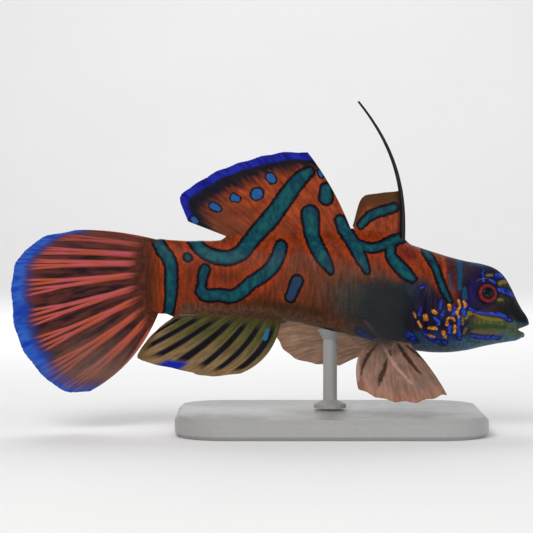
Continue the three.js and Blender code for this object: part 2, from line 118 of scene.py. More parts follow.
def body_curve(column):
    """A smooth curve through one column of the body's table."""
    place, value = BODY[:, 0], BODY[:, column]
    rows = np.arange(len(BODY))
    before, after = np.maximum(rows - 1, 0), np.minimum(rows + 1, len(BODY) - 1)
    slope = (value[after] - value[before]) / (place[after] - place[before])

    def at(share):
        high = np.clip(np.searchsorted(place, share), 1, len(BODY) - 1)
        low = high - 1
        step = place[high] - place[low]
        u = np.clip((share - place[low]) / step, 0, 1)
        return (
            value[low] * (2 * u**3 - 3 * u**2 + 1)
            + slope[low] * step * (u**3 - 2 * u**2 + u)
            + value[high] * (3 * u**2 - 2 * u**3)
            + slope[high] * step * (u**3 - u**2)
        )

    return at


back_share, belly_share, width_share = (body_curve(column) for column in (1, 2, 3))


def back_z(share):
    return AXIS_Z + back_share(share) * STANDARD_LENGTH


def belly_z(share):
    return AXIS_Z + belly_share(share) * STANDARD_LENGTH


def back_power(share):
    brow = np.exp(-(((share - BACK_POWER["brow_at"]) / BACK_POWER["brow_reach"]) ** 2))
    return mix(BACK_POWER["trunk"], BACK_POWER["brow"], brow)


def body_point(share, degrees, swell=0.0):
    """Points of the skin: 0 is the left flank, 90 the back, 180 the right flank, -90 the belly."""
    share, degrees = np.broadcast_arrays(np.asarray(share, float), np.asarray(degrees, float))
    top = back_z(share) + swell
    bottom = belly_z(share) - swell
    middle = mix(bottom, top, WIDEST)
    across, up = np.cos(np.radians(degrees)), np.sin(np.radians(degrees))
    power = np.where(up > 0, back_power(share), BELLY_POWER)
    reach = np.where(up > 0, top - middle, middle - bottom)
    width = width_share(share) * STANDARD_LENGTH + swell
    return np.stack([
        behind(share),
        width * np.sign(across) * np.abs(across) ** (2 / power),
        middle + reach * np.sign(up) * np.abs(up) ** (2 / power),
    ], axis=-1)


def half_width_at(share, z):
    middle = mix(belly_z(share), back_z(share), WIDEST)
    above = z > middle
    reach = np.where(above, back_z(share) - middle, middle - belly_z(share))
    power = np.where(above, back_power(share), BELLY_POWER)
    height = np.clip(np.abs(z - middle) / reach, 0, 1)
    return width_share(share) * STANDARD_LENGTH * (1 - height**power) ** (1 / power)


def on_side(side, degrees):
    return degrees if side > 0 else 180 - degrees


def spline(points, count):
    """A smooth curve through a short list of points, evenly in its own steps."""
    points = np.asarray(points, float)
    padded = np.vstack([2 * points[0] - points[1], points, 2 * points[-1] - points[-2]])
    t = np.linspace(0, len(points) - 1, count)
    low = np.minimum(t.astype(int), len(points) - 2)
    u = (t - low)[:, None]
    a, b, c, d = (padded[low + k] for k in range(4))
    return 0.5 * (2 * b + (c - a) * u + (2 * a - 5 * b + 4 * c - d) * u**2
                  + (3 * b - a - 3 * c + d) * u**3)


# Meshes

def new_object(name, points, faces, scale=MM):
    mesh = bpy.data.meshes.new(name)
    mesh.from_pydata((np.asarray(points) * scale).tolist(), [], [list(face) for face in faces])
    mesh.polygons.foreach_set("use_smooth", np.ones(len(mesh.polygons), bool))
    mesh.update()
    made = bpy.data.objects.new(name, mesh)
    bpy.context.scene.collection.objects.link(made)
    return made


def triples(items, key):
    flat = np.empty(len(items) * 3)
    items.foreach_get(key, flat)
    return flat.reshape(-1, 3)


def points_of(made):
    return triples(made.data.vertices, "co")


def move_points(made, points):
    made.data.vertices.foreach_set("co", np.asarray(points, float).ravel())
    made.data.update()


def set_field(made, name, values):
    field = made.data.attributes.new(name, "FLOAT", "POINT")
    field.data.foreach_set("value", np.asarray(values, np.float32))


def set_marks(made, points, **marks):
    """One field for each list of marks, with the distance to the nearest of them."""
    for name, lines in marks.items():
        set_field(made, name, mark_distance(points, lines))


def set_ground(made, points):
    field = made.data.attributes.new("ground", "FLOAT_COLOR", "POINT")
    rgba = np.concatenate([ground_colours(points), np.ones((len(points), 1))], axis=1)
    field.data.foreach_set("color", rgba.astype(np.float32).ravel())


def modify(made, kind, **settings):
    """Adds a modifier and applies it."""
    modifier = made.modifiers.new(kind, kind)
    for name, value in settings.items():
        setattr(modifier, name, value)
    graph = bpy.context.evaluated_depsgraph_get()
    mesh = bpy.data.meshes.new_from_object(made.evaluated_get(graph))
    made.modifiers.clear()
    old, made.data = made.data, mesh
    bpy.data.meshes.remove(old)
    mesh.polygons.foreach_set("use_smooth", np.ones(len(mesh.polygons), bool))


def carve(made, *cutters):
    """Takes closed forms, each given as points and faces, out of a closed mesh."""
    for points, faces in cutters:
        cutter = new_object("cutter", points, faces, scale=1)
        modify(made, "BOOLEAN", operation="DIFFERENCE", solver="MANIFOLD", object=cutter)
        bpy.data.objects.remove(cutter)


def dress(made, slot, *solids):
    """Ties a piece to the part's body and hides the solids whose place it takes; the paint slot is not
    used.
    """
    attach(made, "root")
    if solids:
        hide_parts(*solids)


def grid_faces(rows, columns, wrap=False):
    """Quads over a grid of points stored row by row; wrap joins the last column to the first."""
    last = columns if wrap else columns - 1
    row, column = np.meshgrid(np.arange(rows - 1), np.arange(last), indexing="ij")
    after = (column + 1) % columns
    a, b = row * columns + column, row * columns + after
    return np.stack([a, b, b + columns, a + columns], axis=-1).reshape(-1, 4)


def closed_loft(rings):
    """Points and faces of a tube of rings with a fan at each end."""
    rings = np.asarray(rings)
    rows, columns = rings.shape[:2]
    points = np.vstack([rings.reshape(-1, 3), rings[0].mean(0), rings[-1].mean(0)])
    side = np.arange(columns)
    after, middle, last = np.roll(side, -1), np.full(columns, rows * columns), (rows - 1) * columns
    first_fan = np.stack([middle, after, side], axis=1).tolist()
    last_fan = np.stack([middle + 1, last + side, last + after], axis=1).tolist()
    return points, grid_faces(rows, columns, wrap=True).tolist() + first_fan + last_fan


def tube(path, radii, sides=16):
    """A round tube along a path; radii may be one number or one for each point."""
    path = np.asarray(path, float)
    radii = np.broadcast_to(radii, len(path))
    along = unit(np.gradient(path, axis=0))
    across = unit(np.cross([0.0, 1.0, 0.0], along) + 1e-6)
    up = np.cross(along, across)
    angles = np.linspace(0, 2 * math.pi, sides, endpoint=False)[None, :, None]
    ring = np.cos(angles) * across[:, None] + np.sin(angles) * up[:, None]
    return closed_loft(path[:, None] + ring * radii[:, None, None])


def ball(centre, radius, rows=48, columns=96):
    tall = np.linspace(-math.pi / 2, math.pi / 2, rows + 2)[1:-1, None]
    turn = np.linspace(0, 2 * math.pi, columns, endpoint=False)[None, :]
    shell = np.stack([
        np.cos(tall) * np.cos(turn),
        np.cos(tall) * np.sin(turn),
        np.sin(tall) * np.ones_like(turn),
    ], axis=-1)
    return closed_loft(np.asarray(centre) + radius * shell)


def together(*pieces):
    """One list of points and faces out of several closed pieces."""
    points, faces, start = [], [], 0
    for piece_points, piece_faces in pieces:
        points.append(np.asarray(piece_points))
        faces += [[index + start for index in face] for face in piece_faces]
        start += len(piece_points)
    return np.vstack(points), faces


# Materials

class Paint:
    """A material with short calls for the nodes that it needs; colours are 0 to 255 on the screen."""

    def __init__(self, name, gloss=0.07):
        self.material = bpy.data.materials.new(name)
        self.material.use_nodes = True
        self.tree = self.material.node_tree
        self.shader = self.tree.nodes["Principled BSDF"]
        self.set(Metallic=0, Specular_IOR_Level=gloss)

    def link(self, value, socket):
        if isinstance(value, bpy.types.NodeSocket):
            self.tree.links.new(value, socket)
        elif socket.type == "RGBA":
            socket.default_value = (*linear(*value), 1)
        else:
            socket.default_value = value

    def set(self, **values):
        for name, value in values.items():
            self.link(value, self.shader.inputs[name.replace("_", " ")])

    def node(self, kind, output, inputs=(), **settings):
        """Adds a node, fills in its inputs and gives one of its outputs."""
        made = self.tree.nodes.new(f"ShaderNode{kind}")
        for name, value in settings.items():
            setattr(made, name, value)
        for socket, value in dict(inputs).items():
            self.link(value, made.inputs[socket])
        return made.outputs[output]

    def field(self, name):
        return self.node("Attribute", "Fac", attribute_name=name)

    def ground(self):
        return self.node("Attribute", "Color", attribute_name="ground")

    def here(self):
        return self.node("TexCoord", "Object")

    def place(self, across, along):
        return self.node("CombineXYZ", 0, {0: across, 1: along})

    def stretched(self, x, y, z):
        """The place in the model in millimetres, stretched by a share along each axis."""
        inputs = {0: self.here(), 1: (x / MM, y / MM, z / MM)}
        return self.node("VectorMath", 0, inputs, operation="MULTIPLY")

    def noise(self, size, detail=3.0, at=None):
        """Cloudy noise whose lumps are about size millimetres wide, or as wide as a given place's units."""
        at, scale = (self.here(), 1 / (size * MM)) if at is None else (at, 1 / size)
        inputs = {"Vector": at, "Scale": scale, "Detail": detail, "Roughness": 0.55}
        return self.node("TexNoise", "Fac", inputs)

    def maths(self, operation, a, b):
        return self.node("Math", 0, {0: a, 1: b}, operation=operation)

    def plus(self, a, b):
        return self.maths("ADD", a, b)

    def times(self, a, b):
        return self.maths("MULTIPLY", a, b)

    def step(self, value, low, high, start=0.0, end=1.0):
        """A smooth step from start to end as the value goes from low to high."""
        inputs = {"Value": value, "From Min": low, "From Max": high, "To Min": start, "To Max": end}
        return self.node("MapRange", "Result", inputs, interpolation_type="SMOOTHSTEP")

    def mix(self, share, a, b):
        return self.node("Mix", 2, {0: share, 6: a, 7: b}, data_type="RGBA")

    def fade(self, value, low, high, a, b):
        """From colour a to colour b as the value goes from low to high."""
        return self.mix(self.step(value, low, high), a, b)

    def dapple(self, cloud, a, b):
        """Patches of two colours, where a cloudy value is low and where it is high."""
        return self.fade(cloud, 0.35, 0.65, a, b)

    def shade(self, colour, share):
        """The colour made lighter or darker by a share that may vary."""
        colour = colour if isinstance(colour, bpy.types.NodeSocket) else linear(*colour)
        return self.node("VectorMath", 0, {0: colour, "Scale": share}, operation="SCALE")

    def bump(self, height, distance, strength, under=None):
        inputs = {"Height": height, "Distance": distance * MM, "Strength": strength}
        if under is not None:
            inputs["Normal"] = under
        return self.node("Bump", 0, inputs)

    def on(self, *pieces):
        for piece in pieces:
            piece.data.materials.clear()
            piece.data.materials.append(self.material)


class FinPaint(Paint):
    """A fin's paint, with streaks that run with the rays."""

    def __init__(self, name):
        super().__init__(name)
        fields = ("crest", "edge", "along", "across")
        self.crest, self.edge, self.along, self.across = (self.field(field) for field in fields)
        self.streak = self.noise(0.22, 3, at=self.place(self.across, self.times(self.along, 1.1)))
        self.patch = self.noise(1.6)

    def streaked(self, colour, dark, light):
        return self.shade(colour, self.step(self.streak, 0.3, 0.7, dark, light))

    def finish(self, colour):
        self.set(Base_Color=colour, Roughness=0.5, Coat_Weight=0.03, Coat_Roughness=0.25,
                 Normal=self.bump(self.streak, 0.05, 0.5))
        return self


# Markings on the side view, in the photograph's pixels: across, down, half width
DORSAL_SWEEP = [
    (309, 172, 4), (300, 179, 6), (288, 194, 7), (279, 207, 7), (270, 219, 7.5), (259, 231, 7),
    (249, 243, 6.5), (242, 252, 6.5), (231, 257.5, 6), (219, 257.5, 6), (207, 253.5, 5.5),
    (198, 246, 5), (193, 239, 5),
]
HOOK = [
    (281, 246, 4.8), (278, 256, 5.4), (272, 267, 5.6), (262, 276, 5.6), (251, 283, 5.4), (241, 292, 5.4),
    (231, 296.5, 5.4), (219, 295, 5), (208, 295.5, 5), (201.5, 292, 4.5), (202, 284, 3), (203, 275, 4),
    (205, 269, 3.6),
]
STALK_BAND = [
    (158, 242, 4.5), (163, 251, 5), (168.5, 258, 5), (171, 267, 5), (171.3, 285, 5), (170.5, 300, 4.2),
    (168.5, 313, 3.6), (168, 322, 3),
]
CLUB = [
    (310, 214, 7.5), (311, 224, 7), (312.5, 236, 6), (317, 247, 6), (322.5, 257, 5.6), (328, 266, 3.6),
    (331, 272, 1.5),
]
FIN_SPOT = [(326, 189, 4.8), (326, 198, 5.8)]
FLANK_SPOT = [(297, 281, 4.8), (290.5, 297, 4)]
STALK_SPOT = [(187.5, 257, 2.6), (188.5, 258, 2.4)]
NECK_BAND = [(340, 220, 4), (344.5, 230, 5), (352, 241, 5), (358, 252, 5), (363, 262, 4), (367, 271, 2.2)]
NECK_TO_BACK = [(358, 245, 4), (371, 248, 3.6), (381, 246, 3.6), (390, 242, 4.2), (401, 238, 4)]
SHOULDER = [(391, 245, 3.4), (391, 256, 4), (398, 265, 5), (406, 273.5, 4.8), (413, 279, 2.4)]
NAPE = [
    (425, 251, 2.2), (430.5, 259, 2.8), (435.5, 268, 2.5), (439.5, 279, 2.3), (443, 288, 2.4),
    (446.5, 295, 2.2), (450, 301, 1.4),
]
FIRST_FIN_BAND = [(394, 207.5, 3.4), (386, 210, 3.6), (376, 213, 3.6), (368, 217.5, 3.4), (361, 225, 2.8)]
TEAL_MARKS = [
    DORSAL_SWEEP, HOOK, STALK_BAND, CLUB, FIN_SPOT, FLANK_SPOT, STALK_SPOT, NECK_BAND, NECK_TO_BACK,
    SHOULDER, NAPE, FIRST_FIN_BAND,
]
FIN_BLUE_SPOTS = [
    [(256.5, 194, 5.2), (258, 194, 5)], [(234, 197.5, 3.4), (237.5, 199, 2.6)],
    [(213, 206, 3.2), (218, 208.5, 2.8)], [(193, 219, 2.6), (196, 221.5, 2.2)],
    [(270, 177, 3.6), (272, 180, 3.4)], [(319.5, 172, 1.6), (321.5, 176, 1.6)],
]
HEAD_BLUE_LINES = [
    [(483, 271, 1.2), (483.5, 281, 1.1)],
    [(490.5, 279.5, 1.4), (495, 282.5, 1.4)],
    [(497, 275.5, 2.4), (503, 275.5, 2.2)],
    [(497, 289.5, 1.6), (503, 291, 2.2), (509, 293, 2.2), (513, 295.5, 1.9)],
    [(466.5, 304, 1.5), (464, 310, 2.1), (464.5, 315, 1.4)],
    [(470, 308.5, 1.2), (478, 312.5, 1.1), (487, 313.5, 1.4), (495, 314, 1.9), (501, 315, 1.9),
     (506, 317.5, 1.8), (510, 320, 1.4)],
    [(472, 336, 1.3), (481, 337.5, 1.4), (492, 337.5, 1.4), (500, 338, 1)],
    [(459.5, 317, 1.4), (459, 327, 1.5), (459.5, 338, 1.6)],
    [(450, 327, 1.8), (449.5, 333, 1.6)],
    [(455, 308, 1.6), (453, 315, 1.8)],
    [(435, 318, 1.5), (439, 323, 1.4), (436, 326, 1)],
    [(421, 308, 1.1), (419.5, 315, 1.4)],
    [(441, 301, 1.3), (440, 308, 1.4)],
    [(444, 312, 1.3), (441.5, 318, 1.3)],
    [(425, 334, 1.1), (434, 340, 1.7), (446, 343, 1.5)],
    [(421, 288, 1.2), (424, 286, 1.2)],
    [(397, 326, 2.6), (403, 330, 3.2), (410, 336, 3.2), (416, 341, 1.8)],
    [(358, 330, 1.8), (366, 335.5, 3.2), (376, 340.5, 3)],
]
CROWN_LINES = [
    [(459.5, 257, 2.4), (460, 272, 2.3), (460, 289, 1.9)],
    [(464.5, 289, 2), (465, 298, 2.2)],
    [(473, 262.5, 1.2), (482, 265.5, 1.6)],
    [(510.5, 284, 1.3), (512.5, 288.5, 1.4)],
    [(513, 321.5, 0.8), (520, 323.5, 0.9), (525, 323.5, 0.7)],
    [(449, 275, 0.8), (451.5, 290, 0.9)],
]
YELLOW_MARKS = [
    [(425.5, 316, 2.3), (426, 319, 2.2)], [(433.5, 311.5, 1.8), (436, 313, 1.6)],
    [(449.5, 305.5, 1.8), (450, 310, 1.7)],
    [(458.5, 300, 1.1), (460, 306, 1.2), (457.5, 313, 1.3), (459, 317, 1)],
    [(464, 302, 1.5), (465.5, 306, 1.6)], [(429, 328, 1.3), (436, 328.5, 1.8)],
    [(447, 325, 1.4), (448, 319, 1.2), (452, 318, 1.1), (455.5, 321, 1)],
    [(455, 326, 1.4), (454.5, 332, 1.5)], [(443.5, 332, 1.5), (445.5, 337, 1.4)],
    [(418.5, 322, 1), (421, 327, 1.2)], [(414, 313, 0.8), (416, 318, 0.9)],
    [(428, 335, 1), (434, 337, 0.9)],
]
OLIVE_MARKS = [
    [(466, 318, 1.8), (469, 313.5, 2.4), (475, 313, 2), (482, 317, 1.6), (492, 319.5, 1.6),
     (502, 320, 1.2)],
    [(500, 283, 2), (505, 282, 1.8)], [(486, 275.5, 1), (492, 275, 1.2)],
    [(497, 299, 1.4), (503, 300, 1.2)], [(462, 317, 1.6), (463, 324, 1.2)],
]
GREEN_MARKS = [
    [(468, 326, 1.2), (478, 326.5, 2), (492, 326.5, 2.2), (504, 327.5, 1.8)],
    [(470, 341, 1.2), (480, 342, 1)], [(416, 334, 1.4), (419, 343, 2)],
    [(440, 345, 1.4), (447, 346, 1.2)],
]
PALE_MARKS = [[(365, 321, 1), (372, 329, 1.7), (379, 338, 1.5)]]
PINK_MARKS = [
    [(473, 331.5, 1.1), (485, 332, 1.2), (499, 332.5, 1)], [(466, 329, 1.4), (464, 334, 1.2)],
]
SKIN_MARKS = {
    "teal": TEAL_MARKS, "dim": [FLANK_SPOT], "blue": HEAD_BLUE_LINES, "yellow": YELLOW_MARKS,
    "crown": CROWN_LINES, "olive": OLIVE_MARKS, "green": GREEN_MARKS, "pink": PINK_MARKS,
    "pale": PALE_MARKS,
}
ANAL_SPOT = [[(268, 330, 1.6), (265, 338, 2.4)]]
PELVIC_STREAKS = [
    [(375.5, 346, 1), (368, 356, 1.9), (363, 367, 1.5), (361, 376, 0.6)],
    [(387, 359, 0.8), (385, 368, 2.2), (381, 378, 2.4), (379, 386, 0.8)],
    [(398, 344, 1), (404, 353, 2), (412, 364, 2), (421, 374, 0.8)],
    [(407, 346, 1), (416, 353, 1.5), (427, 362, 1.4), (437, 372, 0.7)],
    [(390, 351, 1), (391, 355, 1)],
]
# Painted highlights: pale lines along the folds of the near pelvic fin
PELVIC_FOLD_HIGHLIGHTS = [
    [(381, 342, 1), (389, 356, 1.4), (398, 369, 1.5), (412, 384, 0.8)],
    [(358.5, 342, 0.8), (358, 360, 1), (358.5, 380, 0.8)],
]


# How marks wander on the left side: where that sets in, and waves of size, turn per millimetre and start
WANDER = {"from": (0.4, 3.0), "along": ((0.7, 0.5, 1), (0.35, 0.9, 0)),
          "up": ((0.5, 0.42, 2), (0.25, 1.1, 0))}


def wander(waves, *places):
    return sum(size * np.sin(turn * place + start) for (size, turn, start), place in zip(waves, places))


def side_view(points):
    """Where on the photograph a point of the right side is seen, with small shifts on the left side."""
    x, y, z = points.T
    left = ease(y, *WANDER["from"])
    x = x + left * wander(WANDER["along"], z, x)
    z = z + left * wander(WANDER["up"], x, x)
    near = np.abs(y)
    closer = VIEW_DISTANCE / (VIEW_DISTANCE - near)
    middle = PHOTO_SIZE / 2
    across = SNOUT_PIXEL + (x - SNOUT_X) / PIXEL
    down = AXIS_PIXEL - (z - AXIS_Z - near * math.sin(math.radians(CAMERA["elevation"]))) / PIXEL
    return middle + closer * (across - middle), middle + closer * (down - middle)


def mark_distance(points, marks, reach=20.0):
    """Distance in millimetres to the edge of the nearest mark, below zero inside it."""
    across, down = side_view(points)
    nearest = np.full(len(points), reach)
    for mark in marks:
        path = spline(mark, 6 * len(mark)) if len(mark) > 2 else np.asarray(mark, float)
        low, high = path[:, :2].min(0) - reach, path[:, :2].max(0) + reach
        near = np.flatnonzero((across > low[0]) & (across < high[0])
                              & (down > low[1]) & (down < high[1]))
        here = np.stack([across[near], down[near]], axis=1)
        best = nearest[near]
        for a, b in zip(path[:-1], path[1:]):
            run = b[:2] - a[:2]
            t = np.clip((here - a[:2]) @ run / max(run @ run, 1e-9), 0, 1)
            gap = np.linalg.norm(here - a[:2] - t[:, None] * run, axis=1) - mix(a[2], b[2], t)
            best = np.minimum(best, gap)
        nearest[near] = best
    return nearest * PIXEL


# The ground: orange, brighter beside the teal bands, under soft zones in the photograph's pixels (three are
# painted shade under the pectoral fin): centre across and down, reach across and down, turn in degrees,
# colour on the screen, strength
ORANGE = linear(98, 40, 14)
GLOW = linear(136, 47, 13)
GLOW_REACH = (0.3, 2.0)
ZONE_EDGE = (0.55, 1.35)
ZONES = [
    (200, 285, 34, 24, 0, (106, 38, 13), 0.6),
    (310, 285, 34, 30, 0, (92, 46, 26), 0.75),
    (265, 312, 70, 12, 2, (52, 35, 18), 0.85),
    (225, 308, 40, 7, 0, (98, 42, 16), 0.5),
    (360, 290, 42, 26, 0, (70, 52, 40), 0.7),
    # Painted shade: the next three slate and grey zones stand for the shade that the pectoral fin casts on
    # the flank
    (384, 304, 38, 25, 0, (30, 33, 34), 0.97),
    (411, 294, 20, 17, 0, (32, 36, 42), 0.9),
    (352, 304, 22, 22, 0, (56, 56, 50), 0.7),
    (408, 318, 24, 24, 0, (12, 15, 32), 0.9),
    (418, 288, 14, 12, 0, (24, 38, 52), 0.6),
    (432, 312, 24, 26, 0, (13, 10, 36), 0.97),
    (402, 256, 13, 10, 30, (118, 34, 18), 0.8),
    (410, 254, 8, 6, 30, (90, 24, 18), 0.7),
    (447, 272, 12, 24, 0, (84, 34, 18), 0.92),
    (453, 264, 6, 16, 0, (56, 20, 26), 0.8),
    (444, 266, 2.4, 14, -8, (146, 54, 26), 0.8),
    (470, 272, 17, 20, 0, (44, 34, 44), 0.98),
    (476, 276, 6, 9, 0, (78, 34, 28), 0.7),
    (470, 298, 16, 22, 0, (24, 16, 36), 0.98),
    (494, 284, 26, 24, 0, (17, 13, 30), 0.98),
    (503, 284, 5, 5, 0, (70, 60, 24), 0.8),
    (509, 306, 20, 22, -30, (10, 16, 18), 0.98),
    (502, 300, 8, 6, 0, (46, 38, 24), 0.7),
    (488, 307, 14, 4, 0, (42, 24, 22), 0.7),
    (492, 327, 28, 11, 0, (72, 76, 40), 0.98),
    (516, 334, 22, 12, 0, (64, 76, 56), 1.0),
    (524, 317, 11, 8.5, 20, (5, 12, 19), 0.98),
    (474, 304, 16, 9, 0, (17, 9, 42), 0.92),
    (475, 289, 7, 13, 0, (34, 12, 84), 0.6),
    (482, 271, 12, 7, 0, (16, 16, 60), 0.5),
    (480, 262, 26, 6, 8, (10, 38, 66), 0.55),
    (501, 279, 9, 8, 0, (14, 14, 72), 0.4),
    (461, 330, 15, 20, 0, (30, 34, 40), 0.95),
    (455, 322, 12, 16, 0, (18, 12, 46), 0.9),
    (472, 345, 24, 9, 0, (48, 66, 72), 0.9),
    (430, 339, 30, 9, 0, (18, 46, 92), 0.9),
    (395, 335, 18, 9, 0, (12, 34, 62), 0.85),
    (370, 336, 14, 8, 12, (30, 40, 78), 0.9),
    (157, 272, 4, 60, 0, (112, 46, 16), 0.7),
    (136, 276, 17, 90, 0, (68, 33, 19), 1.0),
    (438, 320, 18, 13, 0, (6, 6, 26), 0.6),
    (484, 341, 26, 6, -4, (52, 86, 124), 0.55),
]
THROAT = linear(64, 92, 112)
BELLY = linear(98, 72, 54)
PALE_BELLY = {"strength": 0.85, "height": (0.02, 0.2), "throat_to_belly": (0.25, 0.42), "end": (0.93, 0.97)}


def ground_colours(points):
    """The skin's soft ground, zone over zone with painted shade under the pectoral fin, paling towards the
    belly.
    """
    across, down = side_view(points)
    glow = 1 - ease(mark_distance(points, TEAL_MARKS), *GLOW_REACH)
    colours = mix(ORANGE, GLOW, glow[:, None])
    for x, y, reach_x, reach_y, turn, colour, strength in ZONES:
        cos, sin = math.cos(math.radians(turn)), math.sin(math.radians(turn))
        right, low = across - x, down - y
        u = (right * cos + low * sin) / reach_x
        v = (low * cos - right * sin) / reach_y
        share = strength * (1 - ease(np.hypot(u, v), *ZONE_EDGE))
        colours += share[:, None] * (linear(*colour) - colours)
    share = np.clip((SNOUT_X - points[:, 0]) / STANDARD_LENGTH, 0, 1)
    bottom = belly_z(share)
    height = (points[:, 2] - bottom) / (back_z(share) - bottom)
    pale = (1 - ease(height, *PALE_BELLY["height"])) * (1 - ease(share, *PALE_BELLY["end"]))
    under = mix(THROAT, BELLY, ease(share, *PALE_BELLY["throat_to_belly"])[:, None])
    return colours + (PALE_BELLY["strength"] * pale)[:, None] * (under - colours)


def teal_marks(paint, colour, wobble):
    """Teal bands with a dark rim, the same on skin and fins."""
    edge = paint.plus(paint.field("teal"), wobble)
    colour = paint.fade(edge, 0.3, 0.46, (7, 4, 6), colour)
    streak = paint.noise(1, 3, at=paint.stretched(1.2, 1.2, 0.5))
    teal = paint.fade(streak, 0.38, 0.62, (3, 51, 66), (11, 77, 78))
    teal = paint.fade(edge, -0.42, 0.02, teal, (7, 44, 64))
    return paint.fade(edge, -0.07, 0.06, teal, colour)


def edge_wobble(paint):
    """Small shifts that make the edges of marks uneven, coarse and fine, in millimetres."""
    shifts = (
        paint.times(paint.plus(paint.noise(size, 2), -0.5), reach)
        for size, reach in ((0.6, 0.42), (0.2, 0.26))
    )
    return paint.plus(*shifts)


def skin_material():
    paint = Paint("wet_skin")
    streak = paint.noise(1, 4, at=paint.stretched(2.1, 1.6, 0.42))
    colour = paint.shade(paint.ground(), paint.step(streak, 0.3, 0.7, 0.66, 1.26))
    colour = paint.shade(colour, paint.step(paint.noise(0.24, 4), 0.3, 0.7, 0.84, 1.16))
    wobble = edge_wobble(paint)
    worn = paint.step(paint.noise(0.42, 3), 0.3, 0.46, 0.4, 1)

    def mark(colour, field, mark_colour, soft=0.1, grow=0.0):
        edge = paint.plus(paint.field(field), wobble)
        share = paint.times(paint.step(edge, grow - soft, grow + soft, 1, 0), worn)
        return paint.mix(share, colour, mark_colour)

    colour = mark(colour, "green", (34, 62, 30), 0.14)
    colour = mark(colour, "pink", (98, 72, 66), 0.16)
    colour = mark(colour, "olive", (104, 94, 34), 0.14)
    colour = mark(colour, "crown", paint.mix(paint.noise(0.9), (8, 40, 76), (18, 76, 104)))
    colour = teal_marks(paint, colour, wobble)
    colour = mark(colour, "dim", (34, 50, 80), 0.12, -0.1)
    colour = mark(colour, "blue", (6, 6, 26), 0.12, 0.16)
    blue = paint.dapple(paint.noise(0.7), (12, 16, 110), (38, 68, 172))
    colour = mark(colour, "blue", blue)
    yellow = paint.dapple(paint.noise(0.4), (146, 72, 22), (208, 144, 46))
    colour = mark(colour, "yellow", yellow)
    colour = mark(colour, "pale", (158, 118, 108))
    pores = paint.bump(paint.noise(0.12, 3), 0.02, 0.4)
    folds = paint.bump(paint.noise(0.7, 2), 0.08, 0.3, pores)
    rough = paint.step(paint.noise(0.4), 0.3, 0.7, 0.38, 0.52)
    paint.set(Base_Color=colour, Roughness=rough, Normal=folds, Coat_Weight=0.04, Coat_Roughness=0.2)
    return paint


# The skin: one piece over head, trunk and tail stalk
EYE = {"radius": 2.1, "share": 0.1205, "height": -0.0125, "inset": 1.2, "opening": 1.72, "lid": 0.5,
       "gap": 0.02, "lens": 0.1, "lens_edge": (0.7, 1.0)}
EYE_LOOK = {"forward": 0.14, "up": 0.26}
MOUTH = {"corner": 0.044, "corner_z": -0.1035, "upper_z": -0.094, "lower_z": -0.1175,
         "slit": 0.08, "ahead": 2.0, "reach": 6.0}
LIPS = {"upper_end": 0.0015, "upper_rise": 0.004, "lower_end": 0.0135, "lower_drop": 0.006,
        "radius": 0.4, "corner_radius": 0.22}
NOSTRIL = {"share": 0.06, "height": -0.005, "radius": 0.34, "hole": 0.2, "reach": 0.44,
           "look": (0.55, 0.7, 0.45), "ends": (-0.5, 0.4)}
GILL = {"share": 0.252, "sweep": 0.026, "top": 50, "bottom": -50, "radius": 0.8, "end": 0.3, "sink": 0.35}
GILL_HOLE = {"share": 0.268, "angle": 57, "radius": 0.42}
TAIL_WEDGE = {"length": 2.4, "width": 0.06, "power": 1.2, "squeeze": 0.06}
# Rings ahead of the snout, each with its share of the snout's size and its millimetres forward
NOSE = ((0.45, 0.14), (0.8, 0.1))
FINE_SNOUT = 0.06
FIN_FOLD = {"half_width": 0.5, "power": 1.4}
# Folds along the roots of the fins: start and end behind the snout, up or down, rise in millimetres
FIN_ROOTS = ((0.335, 0.47, 1, 0.8), (0.475, 0.82, 1, 0.9), (0.665, 0.97, -1, 0.7))
SKIN_VOXEL = 0.11

# Creases in the skin: a line on the side view in the photograph's pixels, depth and width in millimetres
CREASES = {
    "jaw": ([(512, 330), (503, 329), (494, 334), (484, 341), (474, 343)], 0.16, 0.22),
    "cheek": ([(478, 307), (470, 312), (462, 322), (460, 332), (466, 341)], 0.14, 0.28),
    "snout": ([(513, 322), (509, 312), (503, 305)], 0.1, 0.22),
}


def height_at(share):
    return AXIS_Z + share * STANDARD_LENGTH


def eye_centre(side):
    z = height_at(EYE["height"])
    y = half_width_at(EYE["share"], z) - EYE["inset"]
    return np.array([behind(EYE["share"]), side * y, z])


def eye_look(side):
    return unit([EYE_LOOK["forward"], side, EYE_LOOK["up"]])


def fin_root_rise(share, ring):
    """Raises the skin to a low fold where a fin grows out of it."""
    for start, end, way, rise in FIN_ROOTS:
        inside = ease(share, start - 0.02, start + 0.01) * (1 - ease(share, end - 0.01, end + 0.02))
        fold = rise * inside * np.exp(-np.abs(ring[:, 1] / FIN_FOLD["half_width"]) ** FIN_FOLD["power"])
        ring[:, 2] += np.where(way * (ring[:, 2] - AXIS_Z) > 0, way * fold, 0)
    return ring


def body_rings():
    """Rings from the nose to the thin end of the tail root, closer together at the snout."""
    angles = np.arange(0, 360, 1.5)
    shares = np.concatenate([np.linspace(0, FINE_SNOUT, 40)[:-1], np.linspace(FINE_SNOUT, 1, 300)])
    rings = [fin_root_rise(share, body_point(share, angles)) for share in shares]
    snout = rings[0]
    nose = [snout.mean(0) + (snout - snout.mean(0)) * size + [forward, 0, 0] for size, forward in NOSE]
    end = rings[-1]
    wedge = []
    for place in np.linspace(0.08, 1, 14):
        ring = end.copy()
        ring[:, 0] -= TAIL_WEDGE["length"] * place
        ring[:, 1] *= mix(1, TAIL_WEDGE["width"], place ** TAIL_WEDGE["power"])
        ring[:, 2] = mix(ring[:, 2], ring[:, 2].mean(), TAIL_WEDGE["squeeze"] * place)
        wedge.append(ring)
    return nose + rings + wedge


